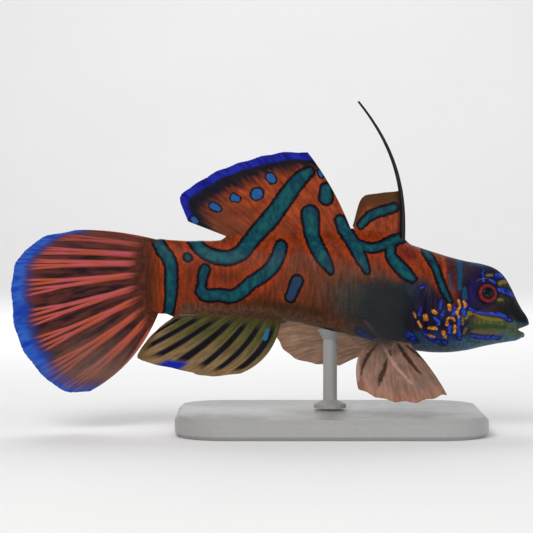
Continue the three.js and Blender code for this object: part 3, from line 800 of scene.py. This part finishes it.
def orbit(side):
    """A swelling round the eye, flat where the skin opens over the ball."""
    look, centre = eye_look(side), eye_centre(side)
    points, faces = ball(centre, EYE["radius"] + EYE["lid"])
    plane = math.sqrt(EYE["radius"] ** 2 - EYE["opening"] ** 2)
    beyond = np.maximum((points - centre) @ look - plane, 0)
    return points - beyond[:, None] * look, faces


def gill_fold(side):
    place = np.linspace(0, 1, 40)
    share = GILL["share"] + GILL["sweep"] * np.sin(math.pi * place)
    angle = on_side(side, mix(GILL["top"], GILL["bottom"], place))
    radii = mix(GILL["end"], GILL["radius"], np.sin(math.pi * place))
    return tube(body_point(share, angle, -GILL["sink"]), radii)


def nostril_line(side):
    z = height_at(NOSTRIL["height"])
    root = np.array([behind(NOSTRIL["share"]), side * half_width_at(NOSTRIL["share"], z), z])
    forward, outward, up = NOSTRIL["look"]
    return root, unit([forward, side * outward, up])


def nostril(side):
    root, out = nostril_line(side)
    place = np.linspace(*NOSTRIL["ends"], 8)
    taper = mix(1.2, 0.8, ease(place, *NOSTRIL["ends"]))
    return tube(root + place[:, None] * out, NOSTRIL["radius"] * taper)


def mouth_wedge():
    """The opening between the jaws, from the corner to past the snout."""
    corner, ahead, slit = behind(MOUTH["corner"]), SNOUT_X + MOUTH["ahead"], MOUTH["slit"]
    corner_z, upper_z, lower_z = (height_at(MOUTH[key]) for key in ("corner_z", "upper_z", "lower_z"))
    profile = np.array([
        [corner, corner_z - slit],
        [SNOUT_X, lower_z - 0.1],
        [ahead, lower_z - 0.6],
        [ahead, upper_z + 0.4],
        [SNOUT_X, upper_z + 0.1],
        [corner, corner_z + slit],
    ])
    rings = [np.insert(profile, 1, y, axis=1) for y in (MOUTH["reach"], -MOUTH["reach"])]
    return closed_loft(rings)


def lip(end_share, end_z):
    place = np.linspace(-1, 1, 81)
    bend = np.abs(place) ** 1.6
    share = mix(end_share, MOUTH["corner"], bend)
    z = height_at(mix(end_z, MOUTH["corner_z"], bend))
    y = np.sign(place) * half_width_at(share, z) * np.minimum(1, np.abs(place) ** 0.8)
    radii = mix(LIPS["radius"], LIPS["corner_radius"], np.abs(place) ** 3)
    return tube(np.stack([behind(share), y, z], axis=1), radii)


def groove(points, normals, line, depth, width):
    """Presses a crease into both sides along a line of the side view."""
    path = [(x, y, 0.0) for x, y in line]
    gap = mark_distance(points, [path])
    flank = ease(np.abs(normals[:, 1]), 0.2, 0.6)
    return -depth * np.exp(-((gap / width) ** 2)) * flank


def unevenness(points):
    """Faint swellings of the flank, fading out towards the head."""
    x, y, z = points.T
    return 0.035 * np.sin(1.9 * x + 0.8 * z) * np.sin(1.3 * z + 0.7 * y) * ease(-x, -16, -8)


def skin():
    rough_form = together(
        closed_loft(body_rings()),
        *(make(side) for side in SIDES.values() for make in (orbit, gill_fold, nostril)),
    )
    made = new_object("fish_skin", *rough_form, scale=1)
    modify(made, "REMESH", mode="VOXEL", voxel_size=SKIN_VOXEL)
    carve(made, mouth_wedge())
    whole = together(
        (points_of(made), [list(face.vertices) for face in made.data.polygons]),
        lip(LIPS["upper_end"], MOUTH["upper_z"] + LIPS["upper_rise"]),
        lip(LIPS["lower_end"], MOUTH["lower_z"] - LIPS["lower_drop"]),
    )
    bpy.data.objects.remove(made)
    made = new_object("fish_skin", *whole, scale=1)
    modify(made, "REMESH", mode="VOXEL", voxel_size=SKIN_VOXEL)
    modify(made, "SMOOTH", factor=0.5, iterations=5)
    points, normals = points_of(made), triples(made.data.vertex_normals, "vector")
    lift = sum(groove(points, normals, *crease) for crease in CREASES.values())
    lift += unevenness(points)
    move_points(made, points + normals * lift[:, None])
    for side in SIDES.values():
        root, out = nostril_line(side)
        gill_hole = body_point(GILL_HOLE["share"], on_side(side, GILL_HOLE["angle"]))
        carve(
            made,
            ball(eye_centre(side), EYE["radius"] + EYE["gap"]),
            ball(gill_hole, GILL_HOLE["radius"], 20, 32),
            ball(root + NOSTRIL["reach"] * out, NOSTRIL["hole"], 12, 20),
        )
    points = points_of(made)
    set_marks(made, points, **SKIN_MARKS)
    set_ground(made, points)
    move_points(made, points * MM)
    skin_material().on(made)
    dress(made, "body_skin", "head", "trunk", "tail_stalk")


# Eyes
def eye_frame(side):
    look = eye_look(side)
    across = unit(np.cross([0.0, 0.0, 1.0], look))
    return look, across, np.cross(look, across)


def dome(side, radius, height):
    """Rings about the look, each with a radius and a height along it."""
    look, across, up = eye_frame(side)
    turn = np.linspace(0, 2 * math.pi, 96, endpoint=False)[None, :, None]
    ring = np.cos(turn) * across + np.sin(turn) * up
    return eye_centre(side) + radius[:, None, None] * ring + height[:, None, None] * look


def eye(name, side):
    """A ball whose lens stands a little out of the iris."""
    angle = np.linspace(math.pi - 0.02, 0.004, 150)
    out = EYE["radius"] * np.sin(angle)
    lens = np.where(angle < math.pi / 2, EYE["lens"], 0) * (1 - ease(out, *EYE["lens_edge"]))
    rings = dome(side, out, EYE["radius"] * np.cos(angle) + lens)
    made = new_object(f"eyeball_{name}", *closed_loft(rings))
    look, across, up = eye_frame(side)
    reach = points_of(made) / MM - eye_centre(side)
    set_field(made, "out", np.hypot(reach @ across, reach @ up) + 4 * (reach @ look < 0))
    set_field(made, "turn", np.arctan2(reach @ up, reach @ across))
    dress(made, "eye", f"eye_{name}")
    return made


def eye_material():
    paint = Paint("iris")
    out = paint.field("out")
    fibres = paint.noise(0.35, 4, at=paint.place(paint.times(paint.field("turn"), 2.2), out))
    red = paint.dapple(fibres, (78, 6, 14), (138, 27, 35))
    colour = paint.fade(out, 0.7, 0.86, (2, 3, 5), (12, 20, 14))
    colour = paint.fade(out, 0.93, 1.0, colour, red)
    colour = paint.fade(out, 1.3, 1.42, colour, (14, 6, 22))
    colour = paint.fade(out, 1.56, 1.66, colour, (26, 20, 60))
    paint.set(Base_Color=colour, Roughness=0.3, Normal=paint.bump(fibres, 0.03, 0.3),
              Coat_Weight=0.12, Coat_Roughness=0.03)
    return paint


# Fins
# From the skin to a fin's root in the solids, how far the dressed root sinks, and a ray's joints, in
# millimetres; then how much a ray and the sheet thin out
GAP = 0.3
ROOT_SINK = 0.5
JOINT_PITCH = 0.55
RAY_TAPER = {"width": 0.55, "height": 0.62}
THINNED = {"margin": 0.45, "sides": 0.6}


def closed_sheet(front, rear):
    """Points and faces of a sheet with two sides, joined round its rim."""
    columns, rows = front.shape[:2]
    half = columns * rows
    top = grid_faces(columns, rows)
    index = np.arange(half).reshape(columns, rows)
    rim = np.concatenate([index[0, :-1], index[:-1, -1], index[-1, :0:-1], index[:0:-1, 0]])
    after = np.roll(rim, -1)
    joined = np.stack([after, after + half, rim + half, rim], axis=1)
    faces = top[:, ::-1].tolist() + (top + half).tolist() + joined.tolist()
    return np.concatenate([front.reshape(-1, 3), rear.reshape(-1, 3)]), faces


def surface_normals(sheet):
    return unit(np.cross(np.gradient(sheet, axis=0), np.gradient(sheet, axis=1)))


def ray_crests(u, s, pitch, width, forks, rise, last):
    """How far each place of a fin lies on a ray, from 0 to 1; each fork splits the arms of a ray in two."""
    nearest = np.clip(np.rint(u), 0, last)
    inner = (nearest > 0) & (nearest < last)
    width = width * (1 - RAY_TAPER["width"] * s)
    arms = [np.zeros_like(s)]
    for start, spread in forks:
        lean = 0.35 * ease(s, start, start + 0.1) + 0.65 * (s - start).clip(0) / (1 - start)
        arms = [arm + way * spread * inner * lean for arm in arms for way in (-1, 1)]
        width = width * mix(1.0, 0.75, ease(s, start, start + 0.1))
    crest = np.max([np.exp(-(((u - nearest - arm) * pitch / width) ** 2)) for arm in arms], axis=0)
    return crest * ease(s, *rise)


def fin_sheet(name, slot, rays, rows, per_gap=26, membrane=0.13, ray_height=0.34, ray_width=0.3,
              root_flesh=0.8, flesh=0.16, scallop=0.01, tear=0.004, forks=(), rise=(0.0, 0.12),
              ruffle=0.12, joint=0.1):
    """A thin sheet carried by its rays, each given as root, middle and tip."""
    rays = list(rays)
    last = len(rays) - 1
    columns = last * per_gap + 1
    root_line, middle_line, tip_line = (spline([ray[k] for ray in rays], columns) for k in range(3))
    root_line = root_line - ROOT_SINK * unit(middle_line - root_line)
    pitch_root, pitch_tip = (
        np.linalg.norm(np.gradient(line, axis=0), axis=1)[:, None] * per_gap
        for line in (root_line, tip_line)
    )
    across = np.linspace(0, last, columns)
    u, s = np.meshgrid(across, np.linspace(0, 1, rows), indexing="ij")
    pitch = mix(pitch_root, pitch_tip, s)
    crest = ray_crests(u, s, pitch, ray_width, forks, rise, last)

    dip = 0.5 - 0.5 * np.cos(2 * math.pi * across)
    frays = np.convolve(rng.normal(size=columns + 4), np.ones(5) / 5, "valid")
    frays += 0.4 * rng.normal(size=columns)
    notch = scallop * dip + tear * np.abs(frays)
    span = (s * (1 - notch[:, None] * ease(s, 0.6, 1.0)))[..., None]
    sheet = (root_line[:, None] * (1 - span) ** 2 + middle_line[:, None] * (2 * span * (1 - span))
             + tip_line[:, None] * span**2)
    swing = np.sin(math.pi * (u % 1)) * np.where(np.floor(u) % 2 == 0, 1, 0.55)
    sheet = sheet + surface_normals(sheet) * (ruffle * swing * s**1.3)[..., None]

    length = np.linalg.norm(np.diff(sheet, axis=1), axis=2).sum(1)[:, None]
    joints = 1 + joint * np.sin(2 * math.pi * s * length / JOINT_PITCH) * crest * ease(s, 0.2, 0.4)
    thickness = membrane + ray_height * (1 - RAY_TAPER["height"] * s) * crest * joints
    thickness = thickness + root_flesh * (1 - ease(s, 0.0, flesh)) ** 2
    thickness = thickness * mix(1.0, THINNED["margin"], ease(s, 0.9, 1.0))
    thickness = thickness * mix(THINNED["sides"], 1.0, ease(np.minimum(u, last - u) * pitch, 0.0, 0.2))
    half = surface_normals(sheet) * (thickness / 2)[..., None]
    made = new_object(f"{name}_skin", *closed_sheet(sheet + half, sheet - half))
    for field, values in (("crest", crest), ("across", u), ("along", s), ("edge", (1 - s) * length)):
        set_field(made, field, np.tile(values.ravel(), 2))
    dress(made, slot, name)
    return made


def flat_ray(root, length, lean, bend, sway=0.0):
    angle = math.radians(lean)
    along = np.array([-math.cos(angle), 0, math.sin(angle)])
    forward = np.array([along[2], 0, -along[0]])
    length = length * STANDARD_LENGTH
    tip = root + along * length
    middle = (root + tip) / 2 + forward * bend * length
    return root, middle, tip + [0, sway, 0]


# Rays: place behind the snout where there is one, length, lean in degrees above straight back, and bend;
# those of the pelvic fins run forward, outward and up, and bow. Lengths are shares of the standard length
SECOND_DORSAL = {
    "from": 0.478, "to": 0.811, "sway": 0.9, "sway_turn": 1.3,
    "rays": [(0.251, 60.9, 0.08), (0.26, 57.8, 0.06), (0.26, 53.8, 0.045), (0.257, 48.9, 0.035),
             (0.251, 43.6, 0.03), (0.237, 37.5, 0.02), (0.214, 30.6, 0.01), (0.123, 21.7, 0)],
}
FIRST_DORSAL = [(0.342, 0.136, 90.5), (0.38, 0.121, 81.6), (0.419, 0.105, 72), (0.466, 0.022, 60)]
FIRST_DORSAL_BEND = 0.03
THREAD = {"height": 0.377, "sweep": 0.12, "bow": 0.006, "power": 2.4, "root": 0.46, "tip": 0.16,
          "sway": 0.25, "sway_turn": 2.4}
ANAL = {
    "rays": [(0.672, 0.181, -51.9, -0.29), (0.706, 0.215, -46.2, -0.2), (0.74, 0.222, -44.4, -0.14),
             (0.777, 0.221, -41.8, -0.08), (0.818, 0.239, -34.3, -0.06), (0.862, 0.235, -30, -0.05),
             (0.91, 0.159, -30.9, 0.02), (0.956, 0.07, -38.8, 0.05)],
    "aside": 1.7, "blue_ray": 3.55,
}
CAUDAL = {
    "top": 0.136, "bottom": -0.06, "sway": 1.5, "sway_turn": 1.2,
    "rays": [(0.233, 6.5, 0.08), (0.315, 5.8, 0.04), (0.368, 2.1, 0.02), (0.394, 0, 0.01), (0.406, -6.6, 0),
             (0.413, -16.5, -0.01), (0.406, -25, -0.02), (0.382, -34.9, -0.04), (0.347, -43.2, -0.08),
             (0.286, -48.9, -0.19)],
}
PECTORAL = {
    "share": 0.325, "top_angle": 12, "bottom_angle": -30, "rays": 26, "top_pitch": 36,
    "bottom_pitch": -30, "length": 0.115, "belly": 0.11, "spread": 34, "lift": 0.1, "bow": 0.06,
}
PELVIC = {
    "from": 0.318, "to": 0.418, "angle": -56, "lift": 0.25,
    "right": [(0.085, 0.1, -0.118, 0), (0.068, 0.145, -0.128, 0), (0.038, 0.18, -0.14, 0.02),
              (0.005, 0.15, -0.146, 0.06), (-0.025, 0.135, -0.14, 0.14), (-0.05, 0.11, -0.126, 0.27)],
    "left": [(-0.19, 0.055, -0.064, 0), (-0.235, 0.085, -0.066, 0), (-0.27, 0.105, -0.058, 0),
             (-0.288, 0.115, -0.034, 0), (-0.288, 0.11, 0.0, 0.03), (-0.265, 0.09, 0.03, 0.06)],
}


def on_back(share):
    return np.array([behind(share), 0, back_z(share) + GAP])


def first_dorsal_rays():
    for share, length, lean in FIRST_DORSAL:
        yield flat_ray(on_back(share), length, lean, FIRST_DORSAL_BEND)


def second_dorsal_rays():
    rays = SECOND_DORSAL["rays"]
    for i, (length, lean, bend) in enumerate(rays):
        place = i / (len(rays) - 1)
        share = mix(SECOND_DORSAL["from"], SECOND_DORSAL["to"], place)
        sway = SECOND_DORSAL["sway"] * math.sin(SECOND_DORSAL["sway_turn"] * math.pi * place)
        yield flat_ray(on_back(share), length, lean, bend, sway)


def anal_rays():
    for i, (share, length, lean, bend) in enumerate(ANAL["rays"]):
        root = np.array([behind(share), 0, belly_z(share) - GAP])
        aside = ANAL["aside"] * ease(i / (len(ANAL["rays"]) - 1))
        root, middle, tip = flat_ray(root, length, lean, bend, aside)
        yield root, middle + [0, 0.5 * aside, 0], tip


def caudal_rays():
    for i, (length, lean, bend) in enumerate(CAUDAL["rays"]):
        place = i / (len(CAUDAL["rays"]) - 1)
        root = np.array([behind(1) - GAP, 0, height_at(mix(CAUDAL["top"], CAUDAL["bottom"], place))])
        sway = CAUDAL["sway"] * math.cos(CAUDAL["sway_turn"] * math.pi * place)
        yield flat_ray(root, length, lean, bend, sway)


def pectoral_rays(side):
    spread = math.radians(PECTORAL["spread"])
    for place in np.linspace(0, 1, PECTORAL["rays"]):
        angle = on_side(side, mix(PECTORAL["top_angle"], PECTORAL["bottom_angle"], place))
        root = body_point(PECTORAL["share"], angle, GAP + PECTORAL["lift"])
        pitch = math.radians(mix(PECTORAL["top_pitch"], PECTORAL["bottom_pitch"], place))
        length = (PECTORAL["length"] + PECTORAL["belly"] * math.sin(math.pi * place)) * STANDARD_LENGTH
        away = np.array([-math.cos(spread) * math.cos(pitch), side * math.sin(spread),
                         math.cos(spread) * math.sin(pitch)])
        tip = root + away * length
        yield root, (root + tip) / 2 + [0, side * PECTORAL["bow"] * length, 0], tip


def pelvic_rays(side, tips):
    for i, (forward, outward, up, bow) in enumerate(tips):
        share = mix(PELVIC["from"], PELVIC["to"], i / (len(tips) - 1))
        root = body_point(share, on_side(side, PELVIC["angle"]), GAP + PELVIC["lift"])
        reach = np.array([forward, side * outward, up]) * STANDARD_LENGTH
        tip = root + reach
        lift = np.array([-bow, 0.05 * side, 0.1 + 0.6 * bow]) * np.linalg.norm(reach)
        yield root, (root + tip) / 2 + lift, tip


def set_dorsal_marks(made):
    points = points_of(made) / MM
    set_marks(made, points, teal=TEAL_MARKS, blue=FIN_BLUE_SPOTS)
    set_ground(made, points)


def thread():
    """The long first spine of a male, a dark flexible thread."""
    start = on_back(FIRST_DORSAL[0][0])
    place = np.linspace(-0.02, 1, 90)
    rise = place.clip(0)
    path = np.stack([
        start[0] + (THREAD["bow"] * np.sin(math.pi * rise) - THREAD["sweep"] * rise ** THREAD["power"])
        * STANDARD_LENGTH,
        THREAD["sway"] * np.sin(THREAD["sway_turn"] * rise),
        start[2] + THREAD["height"] * STANDARD_LENGTH * place,
    ], axis=1)
    made = new_object("fin_thread", *tube(path, mix(THREAD["root"], THREAD["tip"], rise**0.8), 20))
    dress(made, "dorsal_fins")
    paint = Paint("fin_thread")
    colour = paint.fade(paint.noise(1.4, 2), 0.4, 0.7, (8, 6, 5), (30, 19, 10))
    paint.set(Base_Color=colour, Roughness=0.42, Coat_Weight=0.2,
              Normal=paint.bump(paint.noise(0.25), 0.05, 0.5))
    paint.on(made)


def dorsal_material(name, blue_margin):
    """Orange with a dusky band and a blue margin; the first fin has brown in their place."""
    paint = FinPaint(name)
    colour = paint.fade(paint.patch, 0.35, 0.7, (146, 60, 26), (112, 44, 20))
    colour = paint.fade(paint.along, 0.0, 0.22, paint.ground(), colour)
    colour = paint.streaked(colour, 0.68, 1.22)
    wobble = edge_wobble(paint)
    if blue_margin:
        colour = paint.mix(paint.step(paint.across, 3.6, 6.2, 0, 0.7), colour, (84, 46, 30))
        reach = paint.plus(paint.edge, paint.times(paint.streak, 3.0))
        reach = paint.plus(reach, paint.step(paint.across, 1.5, 5.0, 0, -0.8))
        dusk = paint.dapple(paint.patch, (8, 10, 28), (20, 17, 18))
        colour = paint.fade(reach, 3.5, 6.4, dusk, colour)
        blue = paint.dapple(paint.streak, (10, 12, 100), (22, 34, 150))
        colour = paint.fade(paint.plus(paint.edge, paint.streak), 1.65, 2.25, blue, colour)
        spot = paint.plus(paint.field("blue"), wobble)
        colour = paint.fade(spot, 0.18, 0.36, (10, 10, 20), colour)
        blue = paint.mix(paint.streak, (20, 62, 112), (36, 92, 150))
        colour = paint.fade(spot, -0.08, 0.08, blue, colour)
    else:
        colour = paint.fade(paint.along, 0.5, 0.85, colour, (74, 43, 17))
        colour = paint.fade(paint.across, 0.1, 0.5, (28, 14, 9), colour)
    return paint.finish(teal_marks(paint, colour, wobble))


def tail_material():
    """Pink and orange rays over a dark membrane, with a dusky root and a blue margin."""
    paint = FinPaint("tail_skin")
    membrane = paint.dapple(paint.streak, (26, 12, 19), (82, 38, 32))
    rosy = paint.times(paint.step(paint.streak, 0.4, 0.6), paint.step(paint.across, 4, 7.5, 1, 0.4))
    pink = paint.mix(rosy, (162, 71, 44), (172, 72, 90))
    ray = paint.fade(paint.crest, 0.3, 0.65, (150, 66, 34), pink)
    colour = paint.fade(paint.crest, 0.05, 0.34, membrane, ray)
    colour = paint.mix(paint.step(paint.across, 0.4, 2.8, 0.5, 0), colour, (102, 52, 45))
    start = paint.plus(paint.along, paint.times(paint.plus(paint.streak, -0.5), 0.2))
    root = paint.fade(paint.noise(0.8), 0.4, 0.62, (58, 27, 18), (84, 39, 22))
    colour = paint.fade(start, 0.14, 0.27, root, colour)
    pale = paint.times(paint.step(paint.across, 5.4, 8.2, 0, 0.75), paint.step(paint.along, 0.25, 0.75))
    colour = paint.mix(pale, colour, paint.mix(paint.streak, (78, 56, 50), (128, 95, 83)))
    lower = paint.step(paint.across, 6.3, 7.4, 1.0, 0.3)
    lower = paint.maths("MAXIMUM", lower, paint.step(paint.edge, 0.5, 1.1, 0.8, 0))
    reach = paint.plus(paint.edge, paint.times(paint.streak, 2.0))
    blue = paint.dapple(paint.streak, (14, 52, 150), (44, 88, 172))
    for low, high, margin in ((2.8, 5.0, (44, 46, 96)), (2.3, 3.7, blue)):
        colour = paint.mix(paint.times(paint.step(reach, low, high, 1, 0), lower), colour, margin)
    return paint.finish(colour)


def anal_material():
    """Khaki with dark stripes between the rays, a blue tip and one teal spot."""
    paint = FinPaint("anal_skin")
    khaki = paint.fade(paint.along, 0.2, 0.85, (76, 73, 36), (126, 101, 68))
    khaki = paint.streaked(khaki, 0.7, 1.22)
    stripe = paint.times(paint.step(paint.field("between"), 0.68, 0.93), paint.step(paint.along, 0.02, 0.2))
    stripe = paint.times(stripe, paint.step(paint.along, 0.78, 0.97, 1, 0))
    dark = paint.fade(paint.patch, 0.4, 0.65, (7, 5, 6), (8, 9, 28))
    colour = paint.mix(stripe, khaki, dark)
    blue = paint.times(paint.step(paint.edge, 1.3, 2.4, 1, 0), paint.field("blue_tip"))
    colour = paint.mix(blue, colour, (12, 32, 140))
    spot = paint.plus(paint.field("spot"), edge_wobble(paint))
    colour = paint.fade(spot, -0.1, 0.14, (28, 104, 128), colour)
    pale = paint.times(paint.step(paint.along, 0.0, 0.3, 0.7, 0), paint.step(paint.across, 5.6, 6.6))
    return paint.finish(paint.mix(pale, colour, (126, 124, 112)))


def pelvic_material(name, middle, margin):
    """Pinkish beige, with brown streaks and pale painted highlights on folds where the fin has marks."""
    paint = FinPaint(f"pelvic_skin_{name}")
    colour = paint.dapple(paint.patch, middle, paint.shade(middle, 0.84))
    colour = paint.fade(paint.edge, 0.3, 2.6, margin, colour)
    colour = paint.streaked(colour, 0.72, 1.18)
    colour = paint.mix(paint.times(paint.crest, 0.3), colour, paint.shade(margin, 1.1))
    wobble = edge_wobble(paint)
    # The pale colour is a painted highlight along the folds of the near fin
    brown, pale = (48, 32, 22), (182, 142, 130)
    for field, mark_colour, strength in (("streaks", brown, 0.9), ("folds", pale, 0.7)):
        edge = paint.plus(paint.field(field), wobble)
        colour = paint.mix(paint.step(edge, -0.16, 0.16, strength, 0), colour, mark_colour)
    return paint.finish(colour)


def pectoral_material():
    """Dusky and clear as glass towards the margin, with fine rays."""
    paint = FinPaint("pectoral_skin")
    root, tip = paint.step(paint.along, 0.02, 0.22, 0.1, 0.8), paint.step(paint.along, 0.4, 1.0, 1, 0.12)
    top, bottom = paint.step(paint.across, 0, 4, 0.3, 1), paint.step(paint.across, 21, 25, 1, 0.3)
    alpha = paint.times(paint.times(root, tip), paint.times(top, bottom))
    alpha = paint.plus(alpha, paint.times(paint.crest, 0.08))
    colour = paint.mix(paint.crest, (44, 48, 50), (28, 31, 33))
    paint.set(Base_Color=colour, Roughness=0.6, Alpha=alpha)
    return paint


def dorsal_fins():
    rear = fin_sheet("dorsal_fin_second", "dorsal_fins", second_dorsal_rays(), 130)
    first = fin_sheet("dorsal_fin_first", "dorsal_fins", first_dorsal_rays(), 70)
    for made in (rear, first):
        set_dorsal_marks(made)
    dorsal_material("dorsal_skin", True).on(rear)
    dorsal_material("first_dorsal_skin", False).on(first)
    thread()


def tail_fin():
    made = fin_sheet("caudal_fin", "tail_fin", caudal_rays(), 170, ray_height=0.42, ray_width=0.42,
                     root_flesh=1.1, flesh=0.24, scallop=0.006, forks=((0.34, 0.2), (0.64, 0.11)),
                     rise=(0.08, 0.26))
    tail_material().on(made)


def anal_fin():
    made = fin_sheet("anal_fin", "anal_fin", anal_rays(), 100)
    across = np.empty(len(made.data.vertices), np.float32)
    made.data.attributes["across"].data.foreach_get("value", across)
    set_field(made, "between", np.sin(math.pi * (across % 1)))
    set_field(made, "blue_tip", 1 - ease(np.abs(across - ANAL["blue_ray"]), 0.25, 0.55))
    set_marks(made, points_of(made) / MM, spot=ANAL_SPOT)
    anal_material().on(made)


def paired_fins():
    # The left pelvic fin lies in shade under the body and gets a paler copy of the same pinkish beige:
    # painted light
    pelvic = {"right": pelvic_material("right", (136, 106, 91), (148, 105, 87)),
              "left": pelvic_material("left", (216, 176, 148), (202, 158, 132))}
    pectoral = pectoral_material()
    for name, side in SIDES.items():
        fan = fin_sheet(f"pectoral_fin_{name}", "pectoral_fins", pectoral_rays(side), 70, per_gap=8,
                        membrane=0.06, ray_height=0.06, ray_width=0.16, root_flesh=0.6, tear=0.001,
                        ruffle=0.02, joint=0)
        pectoral.on(fan)
        low = fin_sheet(f"pelvic_fin_{name}", "pelvic_fins", pelvic_rays(side, PELVIC[name]), 110,
                        ray_height=0.36, scallop=0.014, forks=((0.3, 0.18), (0.62, 0.09)), ruffle=0.3)
        streaks, folds = (PELVIC_STREAKS, PELVIC_FOLD_HIGHLIGHTS) if name == "right" else ([], [])
        set_marks(low, points_of(low) / MM, streaks=streaks, folds=folds)
        pelvic[name].on(low)


# Stand
def stand():
    """Satin pale grey acrylic for the base and the rod."""
    paint = Paint("stand_acrylic", 0.4)
    grain = paint.noise(0.35, 4)
    paint.set(Base_Color=paint.mix(grain, (148.9, 147.7, 145.4), (161.7, 160.7, 158.7)),
              Roughness=paint.step(paint.noise(3.0), 0.3, 0.7, 0.3, 0.42),
              Normal=paint.bump(grain, 0.01, 0.3))
    paint.on(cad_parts["stand_base"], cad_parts["stand_rod"])


# Room, light and camera
PLANE_CENTRE = (
    SNOUT_X + (PHOTO_SIZE / 2 - SNOUT_PIXEL) * PIXEL,
    0.0,
    AXIS_Z + (AXIS_PIXEL - PHOTO_SIZE / 2) * PIXEL,
)


def put(name, data, place, target):
    """An object that looks from one place to another."""
    made = bpy.data.objects.new(name, data)
    bpy.context.scene.collection.objects.link(made)
    made.location = place
    made.rotation_euler = (target - place).to_track_quat("-Z", "Y").to_euler()
    return made


def camera():
    data = bpy.data.cameras.new("camera")
    data.lens = CAMERA["lens"]
    data.sensor_width = CAMERA["sensor"]
    data.clip_start = 0.005
    lift = math.radians(CAMERA["elevation"])
    target = Vector(PLANE_CENTRE) * MM
    place = target + Vector((0, -math.cos(lift), math.sin(lift))) * VIEW_DISTANCE * MM
    bpy.context.scene.camera = put("camera", data, place, target)


def light(name, place, size, power, colour=(1, 1, 1), towards=(0, 0, 22)):
    data = bpy.data.lights.new(name, "AREA")
    data.shape = "DISK"
    data.size = size * MM
    data.energy = power
    data.color = colour
    put(name, data, Vector(place) * MM, Vector(towards) * MM)


def room():
    """A sweep of paper that bends up behind the model, and the lights."""
    reach, rise, bend, half_width = 900, 900, 260, 1600.0
    turns = np.linspace(0, math.pi / 2, 24)
    profile = [
        (-reach, 0),
        *((reach / 2 + bend * math.sin(turn), bend - bend * math.cos(turn)) for turn in turns),
        (reach / 2 + bend, rise),
    ]
    rows = np.array([[[x, y, z] for y, z in profile] for x in (-half_width, half_width)])
    sweep = new_object("studio_sweep", rows.reshape(-1, 3), grid_faces(2, len(profile)))
    paint = Paint("studio_paper")
    paper = paint.mix(paint.noise(60), (233.7, 232.4, 229.8), (238.6, 237.4, 234.9))
    paint.set(Base_Color=paper, Roughness=0.9)
    paint.on(sweep)
    world = bpy.data.worlds.new("studio")
    world.use_nodes = True
    sky = world.node_tree.nodes["Background"].inputs
    sky["Color"].default_value = (0.9, 0.93, 1.0, 1)
    sky["Strength"].default_value = 0.55
    bpy.context.scene.world = world
    light("key", (-160, -330, 320), 260, 0.95, (1.0, 0.97, 0.93))
    light("fill", (330, -260, 120), 300, 0.35, (0.94, 0.97, 1.0))
    light("rim", (-40, 260, 260), 220, 0.45)
    light("backdrop", (0, 380, 420), 300, 0.75, towards=(0, 710, 120))
    light("low", (60, -300, 6), 160, 0.22, towards=(-5, 0, 15))
    bpy.context.scene.view_settings.view_transform = "Standard"


skin()
eye_material().on(*(eye(name, side) for name, side in SIDES.items()))
dorsal_fins()
tail_fin()
anal_fin()
paired_fins()
stand()
camera()
room()
